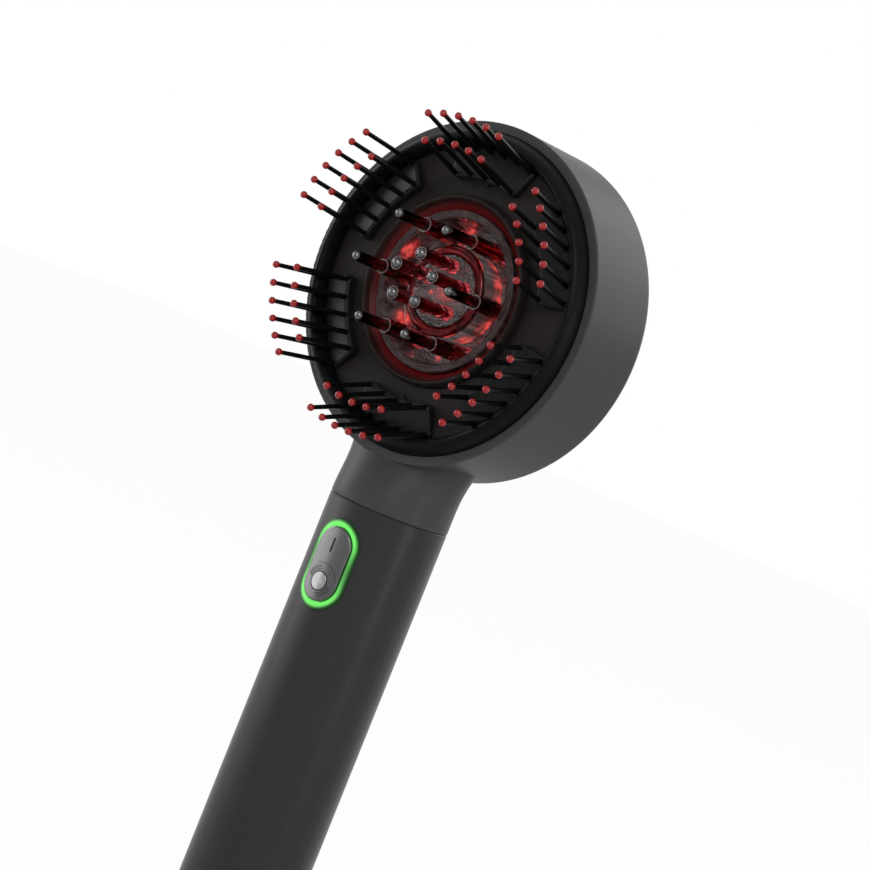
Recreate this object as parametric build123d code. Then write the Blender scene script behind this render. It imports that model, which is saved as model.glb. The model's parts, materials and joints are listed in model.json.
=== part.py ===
# Electric scalp massager: a round comb head with a clear liquid applicator, on a slim handle.
#
# Millimetres. +Z runs up the handle, -Y is the side the combs point to, and the origin is the
# centre of the handle's flat end. Pieces of the head are drawn in the head's own frame: x to the
# right, y up, z out of the face, with z = 0 at the lip of the drum and radii about its axis.
from build123d import *
from math import asin, cos, degrees, pi, radians, sin, sqrt
import os

# ---------------------------------------------------------------- driving dimensions
# Handle
HANDLE_WIDTH = 29.4
HANDLE_DEPTH = 29.4
HANDLE_LENGTH = 110.7
HANDLE_WALL = 1.8
NECK_LENGTH = 12.0
BASE_THICKNESS = 3.0
BASE_EDGE_ROUND = 1.2
BASE_SPIGOT_LENGTH = 4.0
SPIGOT_WALL = 1.5
SPIGOT_LENGTH = 8.0
SPIGOT_NOTCH_GAP = 1.0
SEAM_CHAMFER = 0.25
FIT_GAP = 0.1

# Drum
DRUM_RADIUS = 41.3
DRUM_DEPTH = 24.4
DRUM_LIP_WALL = 2.15
DRUM_WALL = 2.4
DRUM_BACK_WALL = 2.0
DRUM_BACK_ROUND = 2.5
LIP_ROUND = 0.35
LIP_FORWARD = 11.3
LEDGE_DEPTH = 3.0
LEDGE_WIDTH = 2.35
LEDGE_THICKNESS = 2.0
NECK_FOOT = 1.0
NECK_STEPS = 4
NECK_INTO_DRUM = 4.5
NECK_SPREAD = 3.05
NECK_SPREAD_POWER = 2.4
NECK_BEHIND_LIP = 0.6

# Bezel ring and face plate
BEZEL_WIDTH = 4.15
BEZEL_HEIGHT = 3.7
BEZEL_SKIRT = 0.95
PLATE_THICKNESS = 2.4
COLLAR_RADIUS = 22.0
COLLAR_HEIGHT = 2.5
COLLAR_HALF_WIDTH = 1.2
SLEEVE_WALL = 1.8
SLEEVE_LENGTH = 18.8

# Comb pads, pins and tips
GROUPS = 6
PAD_BEZEL_GAP = 0.1
PAD_COLLAR_GAP = 3.7
PAD_INNER_MARGIN = 0.74
PAD_OUTER_MARGIN = 1.25
PAD_EDGE_HEIGHT = 0.5
PAD_EDGE_ROUND = 0.85
PAD_TAB_HALF = 1.7
PAD_TAB_REACH = 0.9
PAD_TAB_HEIGHT = 0.8
PAD_CORNER_ROUND = 2.0
PAD_OUTER_CORNER_ROUND = 0.9
POCKET_DEPTH = 1.0
POCKET_GAP = 0.08
PIN_LEAN = 14.0
PIN_PITCH = 4.38
OUTER_ROW_OVERHANG = 3.15
OUTER_ROW_PINS = 6
INNER_ROW_OVERHANG = 4.55
INNER_ROW_PINS = 5
TIP_HEIGHT = 17.0
TIP_RADIUS = 0.87
PIN_ROOT_RADIUS = 0.62
PIN_END_RADIUS = 0.53
PIN_SEAT_DEPTH = 1.0
PIN_SEAT_GAP = 0.02

# Applicator
CUP_RADIUS = 19.5
CUP_TOP = 1.15
FLANGE_WIDTH = 2.0
FLANGE_THICKNESS = 1.5
CUP_WALL_RADIUS = 18.4
CUP_WALL = 1.3
CUP_FLOOR_DEPTH = 7.0
CUP_FLOOR = 1.2
CUP_SKIRT = 2.4
HUB_RADIUS = 9.4
HUB_TOP = 1.0
HUB_SHOULDER_WIDTH = 1.6
HUB_SHOULDER_DROP = 1.3
GASKET_SECTION = 0.7
CUP_GAP = 0.3
LIGHT_RING_WIDTH = 1.5
LIGHT_RING_SLOPE = 1.4
LIGHT_RING_THICKNESS = 1.2
OUTER_NEEDLES = 6
OUTER_NEEDLE_CIRCLE = 14.5
OUTER_NEEDLE_TOP = 17.37
OUTER_BALL_RADIUS = 1.08
NOZZLE_LENGTH = 10.0
NOZZLE_TIP_RADIUS = 1.25
NOZZLE_ROOT_RADIUS = 1.35
TUBE_SHOULDER_RADIUS = 1.8
TUBE_ROOT_RADIUS = 2.1
INNER_NEEDLES = 5
INNER_NEEDLE_CIRCLE = 5.9
INNER_NEEDLE_TOP = 13.5
INNER_BALL_RADIUS = 1.3
INNER_TUBE_RADIUS = 1.55
NEEDLE_BORE_RADIUS = 0.6
NEEDLE_SEAT_DEPTH = 0.8
BALL_SEAT_GAP = 0.03
BALL_LIP = 0.35
NEEDLE_END_CHAMFER = 0.15
BALL_TRAVEL = 0.3
LUGS = 3
LUG_HALF_ANGLE = 12.0
LUG_HEIGHT = 1.8
LUG_TOP_DEPTH = 4.4
BAYONET_GAP = 0.2
BAYONET_LEDGE_HALF_ANGLE = 20.0
BAYONET_LEDGE_THICKNESS = 1.5
BAYONET_STOP_ANGLE = 4.0
SEAL_SECTION = 0.8
SEAL_GROOVE = 0.3
SEAL_DEPTH = 9.0
TANK_DEPTH = 7.0
TANK_WALL = 1.2

# Light behind the tank
BOARD_THICKNESS = 1.2
BOARD_REBATE = 0.9
REFLECTOR_HOLE_RADIUS = 5.0
REFLECTOR_KNEE_RADIUS = 13.0
REFLECTOR_RISE = 1.4
REFLECTOR_THICKNESS = 0.5
EMITTERS = 6
EMITTER_CIRCLE = 10.0
EMITTER_SIZE = 2.8
EMITTER_HEIGHT = 0.9
EMITTER_WINDOW_GAP = 0.4

# Vibration motor
MOTOR_RADIUS = 6.0
MOTOR_LENGTH = 20.0
MOTOR_SET_BACK = 1.0
THROAT_GAP = 1.1
MOTOR_SHAFT_RADIUS = 1.0
MOTOR_SHAFT_REACH = 6.5
MOTOR_SHAFT_SEAT = 4.0
SHAFT_GAP = 0.05
WEIGHT_RADIUS = 5.2
WEIGHT_HUB_RADIUS = 1.9
WEIGHT_LENGTH = 5.0
WEIGHT_GAP = 0.8
CRADLE_HEIGHT = 12.0
CRADLE_FLOOR = 1.8

# Key, light guide and bracket
KEY_BELOW_SEAM = 15.6
KEY_LENGTH = 18.3
KEY_WIDTH = 9.5
KEY_PROUD = 0.7
KEY_EDGE_ROUND = 0.45
KEY_GAP = 0.3
GUIDE_LENGTH = 22.3
GUIDE_WIDTH = 12.9
GUIDE_PROUD = 0.25
GUIDE_BACK = 3.7
BRACKET_LENGTH = 25.0
BRACKET_WIDTH = 14.6
BRACKET_HEIGHT = 4.0
KEY_WEB_HALF = 4.2
KEY_WEB_THICKNESS = 2.6
TRUNNION_RADIUS = 0.8
TRUNNION_REACH = 6.2
TRUNNION_GAP = 0.06
SWITCH_OFFSET = 5.5
SWITCH_SIZE = 4.5
SWITCH_HEIGHT = 1.6
PLUNGER_RADIUS = 1.0
PLUNGER_HEIGHT = 0.6
NUB_RADIUS = 0.7
KEY_STROKE_GAP = 0.28

# Battery, boards and charge socket
BATTERY_RADIUS = 9.1
BATTERY_BASE = 14.5
BATTERY_BELOW_BOARD = 1.0
BATTERY_TERMINAL = 1.2
BATTERY_SET_BACK = 0.8
BATTERY_GAP = 0.15
CHASSIS_FLOOR = 1.6
CHASSIS_RAIL_WIDTH = 2.5
CHASSIS_LEG_GAP = 9.0
MAIN_BOARD_WIDTH = 20.0
MAIN_BOARD_LENGTH = 26.0
CONTROLLER_SIZE = 6.0
CONTROLLER_HEIGHT = 1.0
PLUG_WIDTH = 7.0
PLUG_LENGTH = 4.0
PLUG_HEIGHT = 3.2
PLUG_ABOVE_KEY = 8.0
BOARD_SCREW_RADIUS = 0.9
BOARD_SCREW_HEAD_RADIUS = 1.7
BOARD_SCREW_HEAD = 0.9
BOARD_SCREW_LENGTH = 5.0
BOARD_SCREW_INSET = 1.9
SOCKET_WIDTH = 8.9
SOCKET_HEIGHT = 3.2
SOCKET_DEPTH = 7.3
SOCKET_SHELL = 0.3
SOCKET_INSET = 0.9
SOCKET_GAP = 0.2
CHARGE_BOARD_HEIGHT = 8.0
CHARGE_BOARD_THICKNESS = 1.0
CHARGE_BOARD_WIDTH = 14.0
CHARGE_BOARD_LENGTH = 12.0

# ---------------------------------------------------------------- places that follow from them
HEAD_HEIGHT = HANDLE_LENGTH + NECK_LENGTH + DRUM_RADIUS
HEAD = Plane(origin=(0, -LIP_FORWARD, HEAD_HEIGHT), x_dir=(1, 0, 0), z_dir=(0, -1, 0))
HANDLE_A = HANDLE_WIDTH / 2
HANDLE_B = HANDLE_DEPTH / 2
NECK_WALL = HANDLE_WALL + FIT_GAP + SPIGOT_WALL
LIP_INNER = DRUM_RADIUS - DRUM_LIP_WALL
BEZEL_OUTER = LIP_INNER - FIT_GAP
BEZEL_INNER = BEZEL_OUTER - BEZEL_WIDTH
PLATE_RADIUS = BEZEL_OUTER - BEZEL_SKIRT - FIT_GAP
PAD_OUTER_RADIUS = BEZEL_INNER - PAD_BEZEL_GAP
PAD_INNER_RADIUS = COLLAR_RADIUS + COLLAR_HALF_WIDTH + PAD_COLLAR_GAP
PAD_INNER_HALF = (INNER_ROW_PINS - 1) / 2 * PIN_PITCH + PAD_INNER_MARGIN
PAD_OUTER_HALF = (OUTER_ROW_PINS - 1) / 2 * PIN_PITCH + PAD_OUTER_MARGIN
OUTER_ROW_RADIUS = PAD_OUTER_RADIUS + OUTER_ROW_OVERHANG
INNER_ROW_RADIUS = PAD_INNER_RADIUS + INNER_ROW_OVERHANG
SLEEVE_INNER = CUP_RADIUS + CUP_GAP
LIGHT_RING_OUTER = SLEEVE_INNER + LIGHT_RING_WIDTH
TANK_RADIUS = CUP_WALL_RADIUS - CUP_WALL
CUP_FLOOR_BACK = -CUP_FLOOR_DEPTH - CUP_FLOOR
TANK_BACK = CUP_FLOOR_BACK - TANK_DEPTH
KEY_HEIGHT = HANDLE_LENGTH - KEY_BELOW_SEAM
GUIDE_BACK_Y = -HANDLE_B + GUIDE_BACK
MAIN_BOARD_Y = GUIDE_BACK_Y + BRACKET_HEIGHT
MOTOR_BASE = HANDLE_LENGTH + CRADLE_FLOOR
BATTERY_LENGTH = KEY_HEIGHT - MAIN_BOARD_LENGTH / 2 - CHASSIS_FLOOR - BATTERY_BELOW_BOARD - BATTERY_BASE


# ---------------------------------------------------------------- small shared shapes
def turned(*points):
    """Solid of revolution about Z of a closed outline given as (radius, height) points."""
    return revolve(Plane.XZ * make_face(Polyline(*points, close=True)), Axis.Z)


def turned_wire(*edges):
    """Solid of revolution about Z of an outline made of separate edges in (radius, height)."""
    return revolve(Plane.XZ * make_face(Curve() + list(edges)), Axis.Z)


def drum_slice(radius, top, bottom):
    """Plain cylinder about the head axis between two heights."""
    return Pos(0, 0, bottom) * Cylinder(radius, top - bottom, align=(Align.CENTER, Align.CENTER, Align.MIN))


def tube_slice(outer, inner, top, bottom):
    """Plain ring about the head axis between two heights."""
    return drum_slice(outer, top, bottom) - drum_slice(inner, top, bottom)


def sector(radius, half_angle, top, bottom):
    """Wedge centred on +Y, half_angle degrees to each side."""
    wedge = make_face(
        Polyline((0, 0), polar(2 * radius, 90 - half_angle), polar(2 * radius, 90 + half_angle), close=True)
    )
    return Pos(0, 0, bottom) * extrude(wedge, top - bottom)


def polar(radius, angle):
    """Point at a radius and an angle in degrees, counted from +X."""
    return (radius * cos(radians(angle)), radius * sin(radians(angle)))


def oval(inset, bottom, top):
    """Upright block of the handle's section (round when its width and depth agree), drawn in by inset."""
    return Pos(0, 0, bottom) * extrude(Ellipse(HANDLE_A - inset, HANDLE_B - inset), top - bottom)


def pill(length, width, front, back, height=KEY_HEIGHT):
    """Upright pill-shaped block that runs along Y from front to back, centred at a height."""
    plane = Plane(origin=(0, back, height), x_dir=(0, 0, 1), z_dir=(0, -1, 0))
    return extrude(plane * SlotOverall(length, width), back - front)


def block(x, y, z):
    """Box between two values on each axis."""
    return Pos(sum(x) / 2, sum(y) / 2, sum(z) / 2) * Box(x[1] - x[0], y[1] - y[0], z[1] - z[0])


def rod(radius, start, end):
    """Round bar between two points."""
    line = Vector(*end) - Vector(*start)
    plane = Plane(origin=start, z_dir=line)
    return extrude(plane * Circle(radius), line.length)


def around(shape, count, first=0.0):
    """Copies of a shape spaced evenly about Z."""
    return [Rot(0, 0, first + 360 * index / count) * shape for index in range(count)]


# ---------------------------------------------------------------- head housing
def neck_block():
    """Neck from the seam up into the drum: the handle's oval, drawn back behind the lip and flared."""
    foot = chamfer(oval(0, HANDLE_LENGTH, HANDLE_LENGTH + NECK_FOOT).edges().group_by(Axis.Z)[0], SEAM_CHAMFER)
    front_draw = HANDLE_B - LIP_FORWARD + NECK_BEHIND_LIP
    back_draw = HANDLE_B - (DRUM_DEPTH - LIP_FORWARD) + NECK_BEHIND_LIP
    rise = NECK_LENGTH + NECK_INTO_DRUM
    sections = []
    for step in range(NECK_STEPS + 1):
        share = step / NECK_STEPS
        draw = share**2 * (3 - 2 * share)
        front = -HANDLE_B + front_draw * draw
        back = HANDLE_B - back_draw * draw
        height = HANDLE_LENGTH + NECK_FOOT + (rise - NECK_FOOT) * share
        half_width = HANDLE_A + NECK_SPREAD * share**NECK_SPREAD_POWER
        sections.append(Pos(0, (front + back) / 2, height) * Ellipse(half_width, (back - front) / 2))
    return foot + loft(sections)


def drum_block():
    """Outside of the drum."""
    drum = drum_slice(DRUM_RADIUS, 0, -DRUM_DEPTH)
    drum = fillet(drum.edges().sort_by(Axis.Z)[0], DRUM_BACK_ROUND)
    return fillet(drum.edges().sort_by(Axis.Z)[-1], LIP_ROUND)


def drum_cavity():
    """Space inside the drum: bezel bore, seat ledge, then the chamber behind."""
    ledge_back = -LEDGE_DEPTH - LEDGE_THICKNESS
    floor = -DRUM_DEPTH + DRUM_BACK_WALL
    bore = drum_slice(LIP_INNER, 1, -LEDGE_DEPTH)
    throat = drum_slice(LIP_INNER - LEDGE_WIDTH, 0, floor)
    chamber = drum_slice(DRUM_RADIUS - DRUM_WALL, ledge_back, floor)
    return bore + throat + chamber


def head_housing():
    """Drum and neck in one moulding, with the spigot that plugs into the handle."""
    shell = HEAD * drum_block() + neck_block()
    spigot = oval(HANDLE_WALL + FIT_GAP, HANDLE_LENGTH - SPIGOT_LENGTH, HANDLE_LENGTH)
    notch_x = MAIN_BOARD_WIDTH / 2 + SPIGOT_NOTCH_GAP
    spigot -= block((-notch_x, notch_x), (-HANDLE_DEPTH, 0), (0, HANDLE_LENGTH))
    drum_foot = HEAD_HEIGHT - DRUM_RADIUS
    hollow = oval(NECK_WALL, HANDLE_LENGTH - SPIGOT_LENGTH, drum_foot)
    throat = rod(
        MOTOR_RADIUS + THROAT_GAP,
        (0, MOTOR_SET_BACK, HANDLE_LENGTH),
        (0, MOTOR_SET_BACK, drum_foot + 2 * DRUM_WALL),
    )
    return shell + spigot - hollow - throat - HEAD * drum_cavity()


# ---------------------------------------------------------------- bezel ring and face plate
def bezel_ring():
    """Rounded black ring that stands proud of the lip and clamps the face plate."""
    step = 0.3
    crest_out = (BEZEL_OUTER - 0.3 * BEZEL_WIDTH, BEZEL_HEIGHT - 0.15)
    crest = (BEZEL_OUTER - 0.5 * BEZEL_WIDTH, BEZEL_HEIGHT)
    crest_in = (BEZEL_INNER + 0.3 * BEZEL_WIDTH, BEZEL_HEIGHT - 0.5)
    return turned_wire(
        Polyline(
            (PLATE_RADIUS + FIT_GAP, 0),
            (PLATE_RADIUS + FIT_GAP, -LEDGE_DEPTH),
            (BEZEL_OUTER, -LEDGE_DEPTH),
            (BEZEL_OUTER, -step),
            (BEZEL_OUTER - step, 0),
        ),
        Spline(
            (BEZEL_OUTER - step, 0),
            (BEZEL_OUTER - 0.14 * BEZEL_WIDTH, 0.55 * BEZEL_HEIGHT),
            crest_out,
            crest,
            crest_in,
            (BEZEL_INNER, 0),
            tangents=[(-0.1, 1), (-0.25, -1)],
        ),
        Line((BEZEL_INNER, 0), (PLATE_RADIUS + FIT_GAP, 0)),
    )


def pad_outline():
    """Plan of a comb pad whose middle lies on +Y: two arcs and slanted ends with rounded corners."""

    def on_arc(radius, x):
        return (x, sqrt(radius**2 - x**2))

    inner_end = on_arc(PAD_INNER_RADIUS, PAD_INNER_HALF)
    outer_end = on_arc(PAD_OUTER_RADIUS, PAD_OUTER_HALF)
    edges = [
        ThreePointArc(inner_end, (0, PAD_INNER_RADIUS), (-inner_end[0], inner_end[1])),
        Line(inner_end, outer_end),
        ThreePointArc(outer_end, (0, PAD_OUTER_RADIUS), (-outer_end[0], outer_end[1])),
        Line((-inner_end[0], inner_end[1]), (-outer_end[0], outer_end[1])),
    ]
    face = make_face(Curve() + edges)
    face = fillet(face.vertices().sort_by(Axis.Y)[-2:], PAD_OUTER_CORNER_ROUND)
    corners = [point for point in face.vertices() if abs(abs(point.X) - inner_end[0]) < PAD_EDGE_ROUND / 10]
    return fillet(corners, PAD_CORNER_ROUND)


def pad_tab():
    """Plan of the small pointed tab at the middle of a pad's inner foot."""
    root = PAD_INNER_RADIUS + PAD_TAB_REACH / 2
    point = (0, PAD_INNER_RADIUS - PAD_TAB_REACH)
    return make_face(Polyline((-PAD_TAB_HALF, root), point, (PAD_TAB_HALF, root), close=True))


PAD_TOP = Plane(
    origin=(0, PAD_OUTER_RADIUS, PAD_EDGE_HEIGHT),
    x_dir=(1, 0, 0),
    z_dir=(0, sin(radians(PIN_LEAN)), cos(radians(PIN_LEAN))),
)


def face_plate():
    """Dark dish with the raised collar, the sleeve that the applicator turns in and six pad pockets."""
    crest = COLLAR_RADIUS
    foot = crest + COLLAR_HALF_WIDTH
    light_seat = CUP_TOP - LIGHT_RING_SLOPE - LIGHT_RING_THICKNESS
    light_top = light_seat + LIGHT_RING_THICKNESS + LIGHT_RING_SLOPE
    sleeve_outer = SLEEVE_INNER + SLEEVE_WALL
    rebate = SLEEVE_INNER + BOARD_REBATE
    rim_inner = LIP_INNER - LEDGE_WIDTH - FIT_GAP
    plate = turned_wire(
        Polyline((PLATE_RADIUS, -LEDGE_DEPTH), (PLATE_RADIUS, 0), (foot, 0)),
        Spline(
            (foot, 0),
            (crest, COLLAR_HEIGHT),
            (LIGHT_RING_OUTER, light_top),
            tangents=[(-0.1, 1), (-0.4, -1)],
        ),
        Polyline(
            (LIGHT_RING_OUTER, light_top),
            (LIGHT_RING_OUTER, light_seat),
            (SLEEVE_INNER, light_seat),
            (SLEEVE_INNER, -SLEEVE_LENGTH + BOARD_THICKNESS),
            (rebate, -SLEEVE_LENGTH + BOARD_THICKNESS),
            (rebate, -SLEEVE_LENGTH),
            (sleeve_outer, -SLEEVE_LENGTH),
            (sleeve_outer, -PLATE_THICKNESS),
            (rim_inner, -PLATE_THICKNESS),
            (rim_inner, -LEDGE_DEPTH),
            (PLATE_RADIUS, -LEDGE_DEPTH),
        ),
    )
    footprint = offset(pad_outline(), POCKET_GAP) + offset(pad_tab(), POCKET_GAP)
    pocket = Pos(0, 0, -POCKET_DEPTH) * extrude(footprint, POCKET_DEPTH)
    plate -= around(pocket, GROUPS)
    return plate + around(bayonet_ledge(), LUGS)


def bayonet_ledge():
    """Inward ledge in the sleeve that a lug of the cup hides behind, with a stop at one end."""
    top = -LUG_TOP_DEPTH + BAYONET_GAP + BAYONET_LEDGE_THICKNESS
    under = -LUG_TOP_DEPTH + BAYONET_GAP
    band = tube_slice(SLEEVE_INNER + SLEEVE_WALL / 2, CUP_WALL_RADIUS + CUP_GAP, top, under - LUG_HEIGHT)
    ledge = band & sector(SLEEVE_INNER, BAYONET_LEDGE_HALF_ANGLE, top, under)
    stop_from = LUG_HALF_ANGLE + 1.0 + BAYONET_STOP_ANGLE / 2
    stop = band & Rot(0, 0, -stop_from) * sector(
        SLEEVE_INNER, BAYONET_STOP_ANGLE / 2, top, under - LUG_HEIGHT
    )
    return ledge + stop


# ---------------------------------------------------------------- comb pads, pins and tips
def pin_places():
    """Roots on the pad's top and lengths to the ball centres, for the group whose middle is +Y."""
    normal = PAD_TOP.z_dir
    places = []
    rows = ((OUTER_ROW_RADIUS, OUTER_ROW_PINS), (INNER_ROW_RADIUS, INNER_ROW_PINS))
    for radius, count in rows:
        for index in range(count):
            angle = 90 + degrees((index - (count - 1) / 2) * PIN_PITCH / radius)
            centre = Vector(*polar(radius, angle), TIP_HEIGHT)
            length = (centre - PAD_TOP.origin).dot(normal)
            places.append((centre - normal * length, length))
    return places


def comb_pad():
    """Pad seated in its pocket, its top square to the pins, with a blind hole for each pin."""
    room = PLATE_THICKNESS + COLLAR_HEIGHT
    body = Pos(0, 0, -POCKET_DEPTH) * extrude(pad_outline(), POCKET_DEPTH + room)
    body -= PAD_TOP * Box(
        2 * DRUM_RADIUS, 2 * DRUM_RADIUS, DRUM_RADIUS, align=(Align.CENTER, Align.CENTER, Align.MIN)
    )
    crown = [face for face in body.faces() if face.normal_at().dot(PAD_TOP.z_dir) > 0.999]
    body = fillet(crown[0].edges(), PAD_EDGE_ROUND)
    body += Pos(0, 0, -POCKET_DEPTH) * extrude(pad_tab(), POCKET_DEPTH + PAD_TAB_HEIGHT)
    hole = drum_slice(PIN_ROOT_RADIUS + PIN_SEAT_GAP, PIN_SEAT_DEPTH, -PIN_SEAT_DEPTH)
    return body - [Plane(origin=root, z_dir=PAD_TOP.z_dir) * hole for root, _ in pin_places()]


def pin_end_drop():
    """Distance from a ball's centre back to the pin's flat end inside it."""
    return sqrt(TIP_RADIUS**2 - PIN_END_RADIUS**2)


def comb_pins():
    """Tapered pins of one pad, seated in their holes."""
    pins = []
    for root, length in pin_places():
        end = length - pin_end_drop()
        pin = turned(
            (0, -PIN_SEAT_DEPTH),
            (PIN_ROOT_RADIUS, -PIN_SEAT_DEPTH),
            (PIN_ROOT_RADIUS, 0),
            (PIN_END_RADIUS, end),
            (0, end),
        )
        pins.append(Plane(origin=root, z_dir=PAD_TOP.z_dir) * pin)
    return pins


def comb_tips():
    """Red balls on the ends of one pad's pins, each flat where it meets its pin."""
    drop = pin_end_drop()
    ball = Sphere(TIP_RADIUS) & drum_slice(TIP_RADIUS, TIP_RADIUS, -drop)
    normal = PAD_TOP.z_dir
    return [Plane(origin=root + normal * length, z_dir=normal) * ball for root, length in pin_places()]


# ---------------------------------------------------------------- light ring and applicator
def light_ring():
    """Red conical ring between the collar and the applicator's edge."""
    seat = CUP_TOP - LIGHT_RING_SLOPE - LIGHT_RING_THICKNESS
    low = seat + LIGHT_RING_THICKNESS
    return turned(
        (SLEEVE_INNER, seat),
        (LIGHT_RING_OUTER, seat),
        (LIGHT_RING_OUTER, low + LIGHT_RING_SLOPE),
        (SLEEVE_INNER, low),
    )


def needle_spots():
    """Plan positions of the needles: an even outer ring, and an inner ring with one needle at the top."""
    outer = [polar(OUTER_NEEDLE_CIRCLE, 360 * index / OUTER_NEEDLES) for index in range(OUTER_NEEDLES)]
    inner = [polar(INNER_NEEDLE_CIRCLE, 90 + 360 * index / INNER_NEEDLES) for index in range(INNER_NEEDLES)]
    return outer, inner


def applicator_cup():
    """Clear dish: flange, wall, floor with a central hub, bayonet lugs and needle seats."""
    wall_inner = CUP_WALL_RADIUS - CUP_WALL
    flange_inner = CUP_RADIUS - FLANGE_WIDTH
    groove = CUP_WALL_RADIUS - SEAL_GROOVE
    cup = turned(
        (CUP_RADIUS, CUP_TOP - FLANGE_THICKNESS),
        (CUP_RADIUS, CUP_TOP),
        (flange_inner, CUP_TOP - 0.2),
        (wall_inner, -CUP_FLOOR_DEPTH),
        (HUB_RADIUS + HUB_SHOULDER_WIDTH, -CUP_FLOOR_DEPTH),
        (HUB_RADIUS + HUB_SHOULDER_WIDTH, HUB_TOP - HUB_SHOULDER_DROP),
        (HUB_RADIUS, HUB_TOP - HUB_SHOULDER_DROP),
        (HUB_RADIUS, HUB_TOP),
        (0, HUB_TOP),
        (0, CUP_FLOOR_BACK),
        (TANK_RADIUS, CUP_FLOOR_BACK),
        (TANK_RADIUS, CUP_FLOOR_BACK - CUP_SKIRT),
        (CUP_WALL_RADIUS, CUP_FLOOR_BACK - CUP_SKIRT),
        (CUP_WALL_RADIUS, -SEAL_DEPTH - SEAL_SECTION),
        (groove, -SEAL_DEPTH - SEAL_SECTION),
        (groove, -SEAL_DEPTH + SEAL_SECTION),
        (CUP_WALL_RADIUS, -SEAL_DEPTH + SEAL_SECTION),
        (CUP_WALL_RADIUS, CUP_TOP - FLANGE_THICKNESS),
    )
    lug_band = tube_slice(CUP_RADIUS, wall_inner + CUP_WALL / 2, -LUG_TOP_DEPTH, -LUG_TOP_DEPTH - LUG_HEIGHT)
    lug = lug_band & sector(CUP_RADIUS, LUG_HALF_ANGLE, -LUG_TOP_DEPTH, -LUG_TOP_DEPTH - LUG_HEIGHT)
    cup += around(lug, LUGS)
    outer, inner = needle_spots()
    for spots, radius, seat in (
        (outer, TUBE_ROOT_RADIUS, -CUP_FLOOR_DEPTH - NEEDLE_SEAT_DEPTH),
        (inner, INNER_TUBE_RADIUS, HUB_TOP - NEEDLE_SEAT_DEPTH),
    ):
        socket = drum_slice(radius, HUB_TOP + 1, seat)
        feed = drum_slice(NEEDLE_BORE_RADIUS, seat, CUP_FLOOR_BACK)
        cup -= [Pos(*spot, 0) * (socket + feed) for spot in spots]
    return cup


def ball_seat(radius):
    """Hollow for a ball with its centre at z = 0, deep enough for the ball's travel."""
    room = radius + BALL_SEAT_GAP
    back = Pos(0, 0, -BALL_TRAVEL) * Sphere(room)
    return Sphere(room) + drum_slice(room, 0, -BALL_TRAVEL) + back


def needle_tubes():
    """Clear feed tubes: stepped ones on the outer ring, plain ones on the hub."""
    outer, inner = needle_spots()
    outer_seat = -CUP_FLOOR_DEPTH - NEEDLE_SEAT_DEPTH
    shoulder = OUTER_NEEDLE_TOP - NOZZLE_LENGTH
    nozzle_end = OUTER_NEEDLE_TOP + BALL_LIP
    stepped = turned(
        (NEEDLE_BORE_RADIUS, outer_seat),
        (TUBE_ROOT_RADIUS, outer_seat),
        (TUBE_ROOT_RADIUS, -CUP_FLOOR_DEPTH),
        (TUBE_SHOULDER_RADIUS, shoulder),
        (NOZZLE_ROOT_RADIUS, shoulder),
        (NOZZLE_TIP_RADIUS, nozzle_end - NEEDLE_END_CHAMFER),
        (NOZZLE_TIP_RADIUS - NEEDLE_END_CHAMFER, nozzle_end),
        (NEEDLE_BORE_RADIUS, nozzle_end),
    ) - Pos(0, 0, OUTER_NEEDLE_TOP) * ball_seat(OUTER_BALL_RADIUS)
    inner_seat = HUB_TOP - NEEDLE_SEAT_DEPTH
    plain_end = INNER_NEEDLE_TOP + BALL_LIP
    plain = turned(
        (NEEDLE_BORE_RADIUS, inner_seat),
        (INNER_TUBE_RADIUS, inner_seat),
        (INNER_TUBE_RADIUS, plain_end - NEEDLE_END_CHAMFER),
        (INNER_TUBE_RADIUS - NEEDLE_END_CHAMFER, plain_end),
        (NEEDLE_BORE_RADIUS, plain_end),
    ) - Pos(0, 0, INNER_NEEDLE_TOP) * ball_seat(INNER_BALL_RADIUS)
    return [Pos(*spot, 0) * stepped for spot in outer] + [Pos(*spot, 0) * plain for spot in inner]


def roller_balls():
    """Steel ball in the mouth of each needle."""
    outer, inner = needle_spots()
    large = [Pos(*spot, OUTER_NEEDLE_TOP) * Sphere(OUTER_BALL_RADIUS) for spot in outer]
    small = [Pos(*spot, INNER_NEEDLE_TOP) * Sphere(INNER_BALL_RADIUS) for spot in inner]
    return large + small


def hub_gasket():
    """Red ring that sits on the hub's shoulder."""
    middle = HUB_RADIUS + GASKET_SECTION
    height = HUB_TOP - HUB_SHOULDER_DROP + GASKET_SECTION
    return Pos(0, 0, height) * Torus(middle, GASKET_SECTION)


def cup_seal():
    """Seal ring in the groove of the cup's wall, just clear of the sleeve."""
    return Pos(0, 0, -SEAL_DEPTH) * Torus(CUP_WALL_RADIUS - SEAL_GROOVE + SEAL_SECTION, SEAL_SECTION)


def liquid_tank():
    """Shallow clear tank that plugs into the back of the cup."""
    outer = TANK_RADIUS - FIT_GAP
    tank = drum_slice(outer, CUP_FLOOR_BACK, TANK_BACK)
    return tank - drum_slice(outer - TANK_WALL, CUP_FLOOR_BACK, TANK_BACK + TANK_WALL)


# ---------------------------------------------------------------- light behind the tank
BOARD_FRONT = -SLEEVE_LENGTH + BOARD_THICKNESS


def emitter_board():
    """Round board in the rebate at the back of the sleeve."""
    return drum_slice(SLEEVE_INNER + BOARD_REBATE - FIT_GAP / 2, BOARD_FRONT, -SLEEVE_LENGTH)


def light_emitters():
    """Red emitters in a ring on the board."""
    chip = Pos(EMITTER_CIRCLE, 0, BOARD_FRONT + EMITTER_HEIGHT / 2) * Box(
        EMITTER_SIZE, EMITTER_SIZE, EMITTER_HEIGHT
    )
    return around(chip, EMITTERS)


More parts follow.
